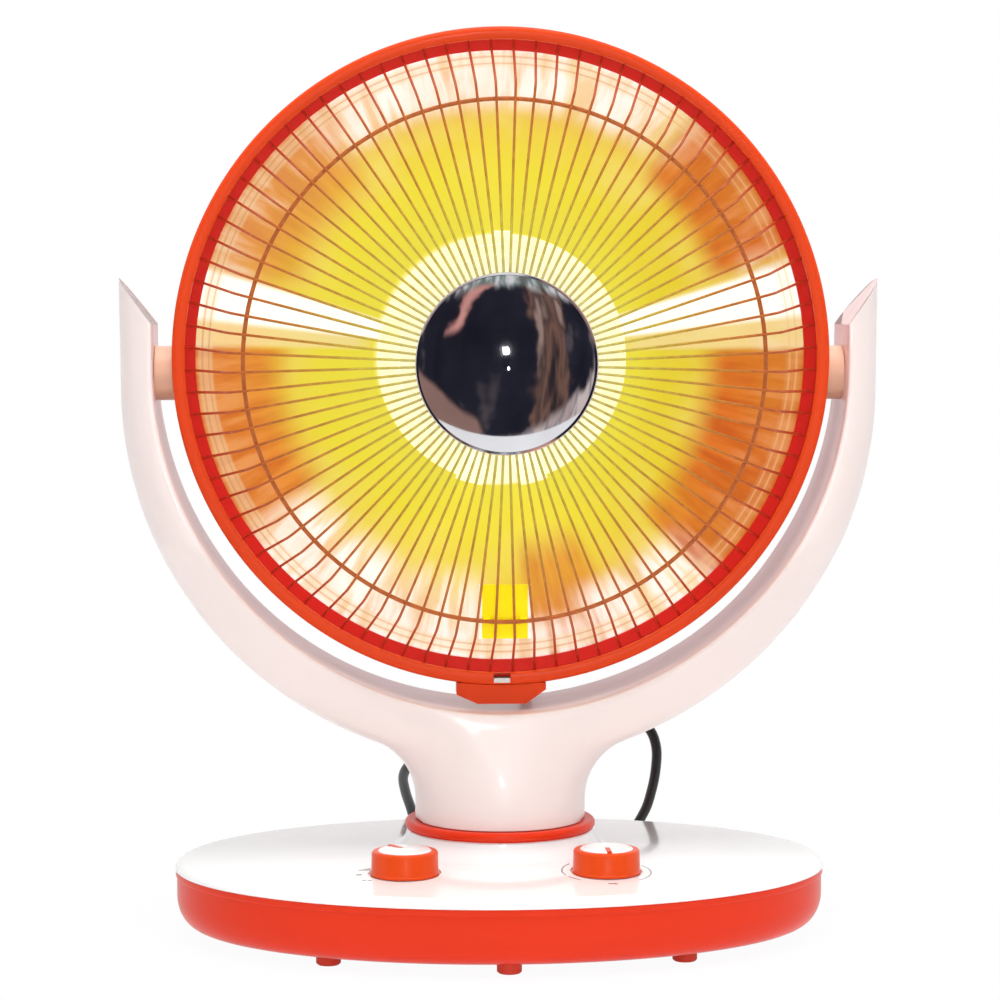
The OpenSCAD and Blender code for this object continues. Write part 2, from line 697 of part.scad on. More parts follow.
module yoke_shell(side) {
    difference() {
        on_side(side) yoke_half(0, neck_z, 0);
        yoke_inside(0);
        over_tips(0);
        difference() {
            on_side(side) yoke_half(yoke_wall, neck_z + neck_floor, 1);
            yoke_inside(yoke_wall);
            over_tips(yoke_wall);
            for (p = yoke_posts) translate([p[0], 0, p[1]]) rotate([90, 0, 0])
                cylinder(r = yoke_post_r, h = through, center = true);
            if (side > 0) at_neck_gland(-neck_pad) cylinder(r = gland_seat_r + 1, h = neck_r / 2);
        }
        if (side < 0) at_yoke_screws(-18) cylinder(r = screw_r - 0.5, h = 20);
        if (side > 0) at_yoke_screws(-e) cylinder(r = screw_r + 0.1, h = 20);
        if (side > 0) at_yoke_screws(yoke_seat_y) cylinder(r = screw_head_r + 0.3, h = through / 2);
        for (s = [-1, 1]) on_pivot(s) {
            cylinder(r = pivot_bush_r + lie, h = inner_r + yoke_wall + 1);
            translate([0, 0, inner_r - 12]) cylinder(r = hub_r + 0.8, h = 12);
        }
        translate([0, 0, neck_z - e]) cylinder(r = spindle_r + 1, h = neck_floor + 2 * e);
        at_neck_screws() translate([0, 0, neck_z - e]) cylinder(r = screw_r - 0.25, h = neck_floor + 2 * e);
        if (side > 0) at_neck_gland(-neck_r / 2) cylinder(r = 5, h = neck_r);
        if (side > 0) at_neck_gland(0) cylinder(r = gland_seat_r, h = 12);
    }
}

// The yoke's screws run along Y, from their seats behind into the front shell
module at_yoke_screws(y) {
    for (p = yoke_posts) translate([p[0], y, p[1]]) rotate([-90, 0, 0]) children();
}

module yoke_front() color(WHITE) yoke_shell(-1);
module yoke_back() color(WHITE) yoke_shell(1);
module yoke_screws() color(STEEL)
    at_yoke_screws(yoke_seat_y + lie) mirror([0, 0, 1])
        pan_screw(screw_r - 0.55, yoke_screw_l, screw_head_r, screw_head_h);

module pivot_bushes() color(CREAM) for (s = [-1, 1]) on_pivot(s) {
    translate([0, 0, inner_r + 0.1]) tube(pivot_bush_r, bolt_r + fit, yoke_wall + 1);
    translate([0, 0, inner_r + yoke_wall + lie]) tube(pivot_bush_r + 3, bolt_r + fit, pivot_bush_t);
}

module at_neck_gland(y) translate([0, neck_gland_y + y, neck_gland_z]) rotate([-90, 0, 0]) children();

module neck_gland() color(BLACK) at_neck_gland(0) gland(lead_d / 2 + lie, gland_out, neck_pad);

// A tapered gland, its flange on the wall's outer face, bored for the lead
module gland(bore, h, wall) difference() {
    union() {
        translate([0, 0, -wall - 1]) cylinder(r = 4.9, h = wall + 2);
        translate([0, 0, 0.2])
            turned([[0, 0], [7.5, 0], [7.5, 1.4], [5.4, 2.6], [4.2, h - 0.2], [0, h - 0.2]]);
        translate([0, 0, -wall - 2.2]) cylinder(r = 6.6, h = 2);
    }
    translate([0, 0, -wall - 3]) cylinder(r = bore, h = wall + h);
    translate([0, 0, h - 3.2]) cylinder(r = bore - 1, h = 4);
}

// Round tube along a path: a frame is carried from point to point
function unit(v) = v / norm(v);
function heading(path, i) = unit(path[min(i + 1, len(path) - 1)] - path[max(i - 1, 0)]);
function sides_of(path, i, v) = i == len(path) ? [] :
    let(t = heading(path, i), n = unit(v - (v * t) * t)) concat([n], sides_of(path, i + 1, n));

module sweep(path, r, sides) {
    across = sides_of(path, 0, [0.3, 0.2, 1]);
    loft([for (i = [0:len(path) - 1]) let(t = heading(path, i), n = across[i], b = cross(t, n))
        [for (k = [0:sides - 1]) path[i] + r * (cos(360 * k / sides) * n + sin(360 * k / sides) * b)]]);
}

// A smooth curve through the route's points, two steps to each stretch
function curve_at(a, b, c, d, t) = b + 0.5 * t * (c - a + t * (2 * a - 5 * b + 4 * c - d
    + t * (3 * (b - c) + d - a)));
function curve(route, steps) = let(m = len(route) - 1) concat(
    [for (i = [0:m - 1], k = [0:steps - 1])
        curve_at(route[max(i - 1, 0)], route[i], route[i + 1], route[min(i + 2, m)], k / steps)],
    [route[m]]);

module head_lead() color(BLACK) sweep(curve(LEAD, 2), lead_d / 2, 8);

module pivot_bolts() color(STEEL) for (s = [-1, 1]) on_pivot(s) {
    translate([0, 0, bolt_in]) cylinder(r = bolt_r, h = inner_r + yoke_wall + 4 - bolt_in);
    difference() {
        translate([0, 0, inner_r + yoke_wall + 2]) cylinder(r = 7.5, h = 4.5);
        translate([0, 0, inner_r + yoke_wall + 4]) cylinder(r = 3, h = 4, $fn = 6);
    }
    translate([0, 0, boss_in - nut_h - lie]) difference() {
        cylinder(r = nut_r, h = nut_h, $fn = 6);
        translate([0, 0, -e]) cylinder(r = bolt_r + lie, h = 6);
    }
}

module pivot_hubs() color(CREAM) for (s = [-1, 1]) on_pivot(s)
    translate([0, 0, hub_in + lie]) tube(hub_r, bolt_r + lie, inner_r - running_gap - hub_in - lie);

module bowl() color(ORANGE) difference() {
    union() {
        in_head() turned(concat(
            [[mouth_r + 0.7, seat_z - 4.3], [rim_lip + 0.6, seat_z], [bowl_r + 1.7, seat_z],
                [bowl_r + 1.7, rim_back - 0.1], [bowl_r, rim_back - 0.1]],
            arc(bowl_flat, -14, bowl_r - 2 - bowl_flat, bowl_z - 14, 0, -90, 14),
            [[bowl_hole, -bowl_z], [bowl_hole, bowl_wall - bowl_z]],
            arc(bowl_flat, -14, bowl_r - 2 - bowl_wall - bowl_flat, bowl_z - 14 - bowl_wall, -90, 0, 14),
            [[bowl_r - bowl_wall, seat_z - 4], [mouth_r + 0.7, seat_z - 6.3]]));
        for (s = [-1, 1]) on_pivot(s) translate([0, 0, boss_in]) cylinder(r = boss_r, h = hub_in - boss_in);
    }
    for (s = [-1, 1]) on_pivot(s) translate([0, 0, bolt_in]) {
        cylinder(r = bolt_r + lie, h = 20);
        cylinder(r = nut_r + 0.6, h = boss_in - bolt_in);
    }
    in_head() for (i = [0:35]) rotate([0, 0, 10 * i + 5])
        translate([slot_r, -slot_w / 2, -bowl_z - 1]) cube([slot_l, slot_w, bowl_room]);
    in_head() at_cover_screws() translate([0, 0, -bowl_z - 1]) cylinder(r = screw_r - 0.3, h = 4);
}

module at_cover_screws() {
    for (t = [45:90:315]) rotate([0, 0, t]) translate([cover_r - 4, 0, 0]) children();
}

module rear_cover() color(ORANGE) in_head() translate([0, 0, cover_z]) difference() {
    union() {
        turned([[0, -cover_h], [cover_r - 10, -cover_h], [cover_r - 3, -cover_h + 3], [cover_r, -cover_h + 8],
            [cover_r, 0], [cover_r - 2, 0], [cover_r - 2, -cover_h + 9], [cover_r - 4.4, -cover_h + 5],
            [cover_r - 10.6, -cover_h + 2], [0, -cover_h + 2]]);
        at_cover_screws() translate([0, 0, -cover_h + 4]) cylinder(r = 3.6, h = cover_h - 4);
    }
    at_cover_screws() translate([0, 0, -cover_h - 1]) cylinder(r = screw_r + 0.1, h = cover_h + 2);
    at_cover_screws() translate([0, 0, -cover_h - 1]) cylinder(r = 3.7, h = 6.2);
    for (i = [0:7]) let(y = cover_slot_y + i * cover_slot_step, w = sqrt(pow(cover_r - 18, 2) - y * y))
        translate([-w, y - cover_slot_w / 2, -cover_h - 1]) cube([2 * w, cover_slot_w, 4]);
    translate([lead_gland_x, lead_gland_y, -cover_h - 1]) cylinder(r = 5, h = 4);
}

module cover_screws() color(STEEL) in_head() at_cover_screws()
    translate([0, 0, cover_z - cover_h + 5.2 - lie])
        pan_screw(screw_r - 0.35, cover_screw_l, screw_head_r - 0.1, 2);

module head_gland() color(BLACK) in_head() translate([lead_gland_x, lead_gland_y, cover_z - cover_h])
    mirror([0, 0, 1]) gland(lead_d / 2 + lie, head_gland_out, 2);

// The dish: a parabola from its middle to its mouth
function dish(r) = dish_foot + dish_h * r * r / (mouth_r * mouth_r);

module reflector() color(GOLD) in_head() difference() {
    turned(concat([for (i = [0:24]) let(r = mouth_r * i / 24) [r, dish(r)]],
        [[dish_lip_r, dish_z], [dish_lip_r, dish_z - dish_lip_t]],
        [for (i = [24:-1:0]) let(r = mouth_r * i / 24) [r, dish(r) - dish_lip_t]]));
    at_tube_ends() translate([0, 0, -bowl_z]) cylinder(r = 5.2, h = bowl_z);
    translate([0, tube_ring_r, -bowl_z]) cylinder(r = 2.4, h = bowl_z);
}

module head_rim() color(ORANGE) in_head() difference() {
    turned(concat([[rim_lip, rim_z - rim_face_t], [rim_lip, rim_z - 0.8]],
        [[rim_lip + 0.8, rim_z]],
        arc(rim_r - 2.4, rim_z - 2.4, 2.4, 2.4, 90, 0, 5),
        [[rim_r, rim_back], [rim_r - 2, rim_back], [rim_r - 2, rim_z - rim_face_t]]));
    translate([-4.2, slot_in - rim_r, rim_back - 1]) cube([8.4, 3, rim_h + 2]);
}

module rim_latch() color(ORANGE) in_head() difference() {
    translate([0, 0, rim_back - 4]) linear_extrude(rim_h + 2.6) polygon([
        [-22.5, 1 - rim_r], [-22.5, -rim_r - 4.8], [-12, latch_low], [12, latch_low], [22, -rim_r - 2.4],
        [22, 1 - rim_r]]);
    translate([0, 0, rim_back - 5]) cylinder(r = rim_r + lie, h = rim_h + 6);
    translate([0, -rim_r - 5.6, rim_back - 5]) cylinder(r = 1.6, h = latch_screw_l + 2);
}

module latch_screw() color(STEEL) in_head() translate([0, -rim_r - 5.6, rim_back - 4 - lie])
    pan_screw(1.5, latch_screw_l, 2.6, 1.6);

// A small plate on the rim's face, hooked into its slot
module latch_tongue() color(STEEL) in_head() {
    translate([-4, 1.4 - rim_r, rim_z + lie]) cube([8, 1.9, 0.8]);
    translate([-3.8, slot_in + 0.1 - rim_r, rim_z - rim_face_t + 0.1]) cube([7.6, 0.8, rim_face_t + 0.75]);
}

// The guard's wires: along the seat, up to the shoulder and in to the hub
function wire_height(r) = shoulder_at + (slope_r - r) * wire_slope;

module rod(a, b, r) {
    v = b - a;
    translate([a[0], 0, a[1]]) rotate([0, atan2(v[0], v[1]), 0]) cylinder(r = r, h = norm(v), $fn = 24);
}

// Straight lengths that meet in small round knuckles, two of them round the shoulder
module guard_wire() {
    path = [[wire_end, wire_z], [wire_turn_r, wire_z],
        [shoulder_r + shoulder_cut / 2, shoulder_at - shoulder_cut],
        [slope_r, shoulder_at], [wire_hub_r, hub_at]];
    for (i = [0:3]) rod(path[i], path[i + 1], wire_r);
    for (i = [1:3]) translate([path[i][0], 0, path[i][1]]) sphere(wire_r * 1.04, $fn = 24);
}

module guard_wires() color(COPPERED) in_head()
    for (i = [0:wires - 1]) rotate([0, 0, (i + 0.5) * 360 / wires]) guard_wire();

module guard_outer_ring() color(COPPERED) in_head()
    translate([0, 0, outer_ring_z]) torus(outer_ring_r, ring_wire_r);
module guard_middle_ring() color(COPPERED) in_head()
    translate([0, 0, wire_height(middle_r) - ring_drop]) torus(middle_r, ring_wire_r);
module guard_inner_ring() color(COPPERED) in_head()
    translate([0, 0, wire_height(inner_ring_r) - ring_drop]) torus(inner_ring_r, ring_wire_r);

module guard_plate() color(STEEL) in_head() {
    translate([0, 0, plate_z - 1.5]) tube(wire_hub_r + 0.6, 2 + lie, 1.5);
    translate([0, 0, plate_z - 5]) cylinder(r = 2, h = dome_z + dome_h - 1.1 - plate_z + 5);
    translate([0, 0, plate_z - 1.5 - lie - 3]) tube(4, 2 + lie, 3);
}

module center_dome() color(CHROME) in_head() translate([0, 0, dome_z]) {
    turned(concat(
        arc(0, dome_h - dome_sphere, dome_sphere, dome_sphere, 90 - dome_turn, 90, 12),
        arc(0, dome_h - dome_sphere, dome_sphere - dome_t, dome_sphere - dome_t, 90, 90 - dome_turn_in, 12)));
    turned(arc(dome_r - 0.6, 1, 1, 1, 0, 345, 23));
}

module guard_tag() color(YELLOW) in_head() {
    translate([-tag_w / 2, -tag_low, tag_z - 1]) cube([tag_w, tag_h, 1]);
    for (s = [-1, 1]) translate([s * 9 - 1.5, -middle_r + ring_wire_r + 0.5, tag_z - 0.5]) cube([3, 0.8, 4]);
}

module heater_tube() color([0.98, 0.85, 0.45]) in_head() translate([0, 0, tube_z])
    rotate([0, 0, tube_gap / 2 - 90]) rotate_extrude(angle = 360 - tube_gap) translate([tube_ring_r, 0])
        difference() {
            circle(r = tube_r);
            circle(r = tube_r - 0.9);
        }

module carbon_ribbon() color([1, 0.8, 0.3]) in_head() translate([0, 0, tube_z])
    rotate([0, 0, tube_gap / 2 - 89.9]) rotate_extrude(angle = 359.8 - tube_gap) translate([tube_ring_r, 0])
        square([0.8, 4.4], center = true);

module at_tube_ends() {
    for (s = [-1, 1]) translate([s * post_at, bracket_y, 0]) children();
}

module tube_end() {
    over = 8;
    translate([0, 0, tube_z]) rotate([0, 0, tube_gap / 2 - 94]) difference() {
        rotate_extrude(angle = over + 4) translate([tube_ring_r, 0]) circle(r = tube_r + 2);
        rotate([0, 0, 4]) rotate_extrude(angle = over + 4) translate([tube_ring_r, 0])
            circle(r = tube_r + 0.1);
    }
}

module tube_ends() color(CERAMIC) in_head() for (s = [0, 1]) mirror([s, 0, 0]) {
    foot = bracket_z + bracket_t + lie;
    tube_end();
    translate([post_at, bracket_y, foot]) cylinder(r = 4, h = tube_z - tube_r - 0.6 - foot);
}

module tube_support() color(STEEL) in_head() translate([0, tube_ring_r, 0]) {
    foot = dish(tube_ring_r + 4) + 0.1;
    translate([0, 0, foot - 12]) cylinder(r = 2, h = tube_z - tube_r - 1.2 - foot + 12);
    translate([0, 0, foot]) cylinder(r = 4, h = 1.2);
    translate([0, 0, dish(tube_ring_r - 4) - dish_lip_t - 3.1]) cylinder(r = 4, h = 3, $fn = 6);
    translate([0, -tube_ring_r, tube_z]) rotate([0, 0, 86]) rotate_extrude(angle = 8)
        translate([tube_ring_r, 0]) intersection() {
            difference() {
                circle(r = tube_r + 1.4);
                circle(r = tube_r + 0.1);
            }
            translate([-10, -10]) square([20, 13]);
        }
}

module element_bracket() color(STEEL) in_head() translate([0, bracket_y, 0]) {
    difference() {
        translate([-bracket_leg, -11, bracket_z]) cube([2 * bracket_leg, 22, bracket_t]);
        for (x = [-30, 30]) translate([x, 0, bracket_z - e]) cylinder(r = 2, h = 3);
    }
    leg_top = dish(norm([bracket_leg - bracket_t, -bracket_y - 11])) - dish_lip_t - 0.15;
    for (s = [-1, 1]) translate([s > 0 ? bracket_leg - bracket_t : -bracket_leg, -11, bracket_z])
        cube([bracket_t, 22, leg_top - bracket_z]);
}

module thermal_cutout() color(BLACK) in_head() translate([48, bracket_y, bracket_z - 7 - lie]) {
    cylinder(r = 8, h = 7);
    for (s = [-1, 1]) translate([s * 4 - 1.5, -0.4, -5]) cube([3, 0.8, 6]);
}

module head_terminals() color(CERAMIC) in_head() difference() {
    translate([-18, bracket_y - 8, bracket_z - 10 - lie]) cube([36, 16, 10]);
    for (x = [-12, 0, 12]) translate([x, bracket_y, bracket_z - 11]) cylinder(r = 2.4, h = 7);
}

base_tray();
base_top();
collar_ring();
swivel_bush();
thrust_washer();
ballast_plate();
feet();
base_screws();
motor();
motor_pinion();
timer_body();
timer_shaft();
timer_knob();
timer_cap();
timer_pointer();
heat_switch();
heat_shaft();
heat_knob();
heat_cap();
heat_pointer();
tip_switch();
tip_plunger();
tip_spring();
base_terminals();
mains_gland();
spindle();
circlip();
sector_gear();
neck_screws();
yoke_front();
yoke_back();
yoke_screws();
pivot_bushes();
neck_gland();
head_lead();
pivot_bolts();
pivot_hubs();
bowl();
rear_cover();
cover_screws();
reflector();
head_rim();
rim_latch();
latch_screw();
latch_tongue();
head_gland();
guard_outer_ring();
guard_wires();
guard_middle_ring();
guard_inner_ring();
guard_plate();
center_dome();
guard_tag();
heater_tube();
carbon_ribbon();
tube_ends();
tube_support();
element_bracket();
thermal_cutout();
head_terminals();
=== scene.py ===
import math

import bpy
from mathutils import Matrix, Vector


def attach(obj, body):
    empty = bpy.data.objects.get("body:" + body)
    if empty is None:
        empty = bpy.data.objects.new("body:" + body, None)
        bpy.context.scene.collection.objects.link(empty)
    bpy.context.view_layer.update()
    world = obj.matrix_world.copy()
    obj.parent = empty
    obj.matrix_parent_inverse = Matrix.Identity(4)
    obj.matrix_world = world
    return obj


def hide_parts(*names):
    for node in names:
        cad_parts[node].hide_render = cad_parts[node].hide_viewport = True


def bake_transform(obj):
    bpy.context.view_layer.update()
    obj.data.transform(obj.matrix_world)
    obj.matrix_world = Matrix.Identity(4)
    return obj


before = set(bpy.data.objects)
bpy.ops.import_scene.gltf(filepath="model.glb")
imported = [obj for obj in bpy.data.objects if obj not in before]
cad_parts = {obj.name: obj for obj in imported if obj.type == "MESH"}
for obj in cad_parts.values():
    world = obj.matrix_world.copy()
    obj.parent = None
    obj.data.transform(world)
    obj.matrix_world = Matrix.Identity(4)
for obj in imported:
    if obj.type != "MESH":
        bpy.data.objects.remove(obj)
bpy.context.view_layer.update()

MM = 0.001

CAMERA_LENS, CAMERA_AWAY, CAMERA_HEIGHT = 108, 1.5, 0.327
CAMERA_SIDE, CAMERA_DOWN = -2.7, 4.15


# ---- the heater's own sizes, in millimetres ----

HALF_W, HALF_D = 163.5, 112.0
SEAM_Z, EDGE_IN, EDGE_H, CROWN_H = 33.5, 5.5, 4.8, 5.0
FOOT_H = 5.0
TOP_Z = SEAM_Z + EDGE_H + CROWN_H
PLINTH_R, PLINTH_Z, PLINTH_SWEEP = 47.0, 53.0, 12.0
KNOB_X, KNOB_Y, KNOB_SEAT, KNOB_Z, KNOB_R, KNOB_H, CAP_R = 49.0, 60.0, 40.4, 40.7, 16.8, 11.8, 13.0
NECK_R, NECK_Z, FLARE_R = 42.7, 58.1, 32.0
OUTER_Z, OUTER_R, INNER_Z, INNER_R = 275.0, 188.5, 286.0, 171.5
TIP_Z, TIP_DROP, TIP_OUT = 329.0, 23.0, 0.6
LOW_D, TIP_D, FLANK = 34.0, 22.0, 16.0
YOKE_EDGE, YOKE_ACROSS, HALF_SEAM = 1.6, 22, 0.12
PIVOT_Z, RING_LIFT, FACE_DOWN = 282.0, 8.0, 1.5
RIM_R, RIM_LIP, RIM_Z, RIM_BACK = 162.0, 155.7, 25.0, 14.5
MOUTH_R, DISH_H, DISH_Z, DISH_LIP, DISH_SHEET = 150.3, 68.0, 10.1, 4.0, 0.8
DISH_FOOT = DISH_Z - DISH_H
WIRES, WIRE_R = 88, 0.65
WIRE_END, WIRE_TURN, WIRE_Z = 158.0, 152.2, 19.5
SHOULDER_R, SHOULDER_Z, HUB_R, HUB_Z = 134.0, 56.0, 37.7, 69.5
DOME_R, DOME_H = 43.7, 13.0
DOME_Z = SHOULDER_Z + (SHOULDER_R - DOME_R + 1) * (HUB_Z - SHOULDER_Z) / (SHOULDER_R - HUB_R) + 0.85

HEAD_Z = (PIVOT_Z + RING_LIFT) * MM
HEAD = (Matrix.Translation((0, 0, PIVOT_Z * MM)) @ Matrix.Rotation(math.radians(FACE_DOWN), 4, "X")
        @ Matrix.Translation((0, 0, RING_LIFT * MM)) @ Matrix.Rotation(math.radians(90), 4, "X"))

LEAD_D = 5.5
LEAD_TOP = (15, 113.1, 254.95)
LEAD_ROUTE = [
    (0, 54, 92), (0, 60, 92), (0, 67, 92), (-6, 76, 90), (-20, 86, 83), (-34, 94, 76), (-43, 103, 69),
    (-47, 116, 60), (-46, 129, 50), (-43, 141, 39), (-38, 151, 24), (-26, 159, 11), (-8, 164, 4.6),
    (12, 166, 3.4), (34, 164, 4.6), (58, 158, 10), (78, 151, 20), (87, 147, 33), (91, 144, 46),
    (93, 141, 59), (93, 140, 71), (89, 140, 81), (79, 141, 88), (65, 142.5, 90.5), (50, 144, 91),
    (36, 146, 93), (25.5, 148, 100.5), (19.5, 149.5, 114), (18, 150.5, 134), (18, 151.1, 159.95),
    (18.5, 152.1, 187.95), (18.5, 152.1, 213.95), (17.5, 149.5, 234.95), (16, 142.5, 248.95),
    (15, 133.1, 254.95), (15, 122.1, 254.95), LEAD_TOP]


# ---- the photograph's camera ----

def photo_camera():
    data = bpy.data.cameras.new("photo_camera")
    data.lens = CAMERA_LENS
    data.sensor_width = 36
    data.clip_start = 0.05
    data.clip_end = 50
    camera = bpy.data.objects.new("photo_camera", data)
    bpy.context.scene.collection.objects.link(camera)
    side = math.radians(CAMERA_SIDE)
    camera.location = (CAMERA_AWAY * math.sin(side), -CAMERA_AWAY * math.cos(side), CAMERA_HEIGHT)
    camera.rotation_euler = (math.radians(90 - CAMERA_DOWN), 0, side)
    bpy.context.scene.camera = camera


# ---- ways of modelling ----

def nothing_selected():
    if bpy.context.mode != "OBJECT":
        bpy.ops.object.mode_set(mode="OBJECT")
    bpy.ops.object.select_all(action="DESELECT")


def chosen(piece):
    nothing_selected()
    bpy.context.view_layer.objects.active = piece
    piece.select_set(True)


def edit(piece):
    chosen(piece)
    bpy.ops.object.mode_set(mode="EDIT")


def done(piece, smooth=35):
    chosen(piece)
    bpy.ops.object.shade_smooth_by_angle(angle=math.radians(smooth))
    return piece


def placed(piece, matrix):
    """Puts a finished piece where matrix says, with its place in its mesh."""
    chosen(piece)
    piece.matrix_world = matrix
    bpy.ops.object.transform_apply(location=True, rotation=True, scale=True)
    return piece


def outline_drawn(name, points):
    """One vertex is extruded along points of (radius, height), in millimetres."""
    nothing_selected()
    bpy.ops.mesh.primitive_plane_add(size=0.002)
    piece = bpy.context.object
    piece.name = piece.data.name = name
    bpy.ops.object.mode_set(mode="EDIT")
    bpy.ops.mesh.select_mode(type="VERT")
    bpy.ops.mesh.select_all(action="SELECT")
    bpy.ops.mesh.merge(type="CENTER")
    bpy.ops.transform.translate(value=(points[0][0] * MM, 0, points[0][1] * MM))
    for a, b in zip(points, points[1:]):
        step = ((b[0] - a[0]) * MM, 0, (b[1] - a[1]) * MM)
        bpy.ops.mesh.extrude_vertices_move(TRANSFORM_OT_translate={"value": step})
    return piece


def turned(name, points, steps=144, smooth=35):
    """A piece spun round +Z from its section."""
    piece = outline_drawn(name, points)
    bpy.ops.mesh.select_all(action="SELECT")
    bpy.ops.mesh.spin(steps=steps, angle=2 * math.pi, center=(0, 0, 0), axis=(0, 0, 1))
    bpy.ops.mesh.select_all(action="SELECT")
    bpy.ops.mesh.remove_doubles(threshold=0.00001)
    bpy.ops.mesh.normals_make_consistent(inside=False)
    return done(piece, smooth)


def arc(cx, cy, a, b, start, end, n):
    """Points along a part of an ellipse, from start to end in degrees."""
    turns = [math.radians(start + (end - start) * i / n) for i in range(n + 1)]
    return [(cx + a * math.cos(t), cy + b * math.sin(t)) for t in turns]


def ovals(name, levels, sides=192):
    """An oval ring is extruded from level to level; a level is (how far it is drawn in, height)."""
    nothing_selected()
    inset, z = levels[0]
    bpy.ops.mesh.primitive_circle_add(vertices=sides, radius=1, fill_type="NGON")
    piece = bpy.context.object
    piece.name = piece.data.name = name
    bpy.ops.object.mode_set(mode="EDIT")
    bpy.ops.mesh.select_all(action="SELECT")
    bpy.ops.transform.resize(value=((HALF_W - inset) * MM, (HALF_D - inset) * MM, 1),
                             center_override=(0, 0, 0))
    bpy.ops.transform.translate(value=(0, 0, z * MM))
    for (i0, z0), (i1, z1) in zip(levels, levels[1:]):
        bpy.ops.mesh.extrude_region_move(TRANSFORM_OT_translate={"value": (0, 0, (z1 - z0) * MM)})
        bpy.ops.transform.resize(value=((HALF_W - i1) / (HALF_W - i0), (HALF_D - i1) / (HALF_D - i0), 1),
                                 center_override=(0, 0, z1 * MM))
    bpy.ops.mesh.select_all(action="SELECT")
    bpy.ops.mesh.normals_make_consistent(inside=False)
    return done(piece)


def joined_by(piece, tool, operation):
    """Cuts tool out of piece, or adds it, and removes tool."""
    chosen(piece)
    cut = piece.modifiers.new("cut", "BOOLEAN")
    cut.operation = operation
    cut.solver = "EXACT"
    cut.object = tool
    bpy.ops.object.modifier_apply(modifier="cut")
    bpy.data.objects.remove(tool)
    return piece


def box(name, low, high):
    nothing_selected()
    middle = [(a + b) / 2 * MM for a, b in zip(low, high)]
    bpy.ops.mesh.primitive_cube_add(size=1, location=middle,
                                    scale=[(b - a) * MM for a, b in zip(low, high)])
    piece = bpy.context.object
    piece.name = piece.data.name = name
    bpy.ops.object.transform_apply(location=True, rotation=True, scale=True)
    return piece


def rod_block(name, r, low, high, x=0.0, y=0.0, sides=96):
    nothing_selected()
    bpy.ops.mesh.primitive_cylinder_add(vertices=sides, radius=r * MM, depth=(high - low) * MM,
                                        location=(x * MM, y * MM, (low + high) / 2 * MM))
    piece = bpy.context.object
    piece.name = piece.data.name = name
    bpy.ops.object.transform_apply(location=True, rotation=True, scale=True)
    return piece


def fitted(piece, body, finish, slot, *nodes):
    """Gives a piece its finish and body, and hides the nodes it stands for; slot is not used.

    Where finish is a list, each face keeps its own place in that list.
    """
    several = isinstance(finish, list)
    numbers = [face.material_index if several else 0 for face in piece.data.polygons]
    piece.data.materials.clear()
    for each in finish if several else [finish]:
        piece.data.materials.append(each)
    piece.data.polygons.foreach_set("material_index", numbers)
    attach(piece, body)
    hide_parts(*nodes)


# ---- finishes ----

def tone(r, g, b):
    """A colour as it is read off a screen, made linear."""
    line = [v / 255 for v in (r, g, b)]
    return [v / 12.92 if v <= 0.04045 else ((v + 0.055) / 1.055) ** 2.4 for v in line] + [1.0]


def shaded(paint, share):
    return [min(1.0, v * share) for v in paint[:3]] + [1.0]


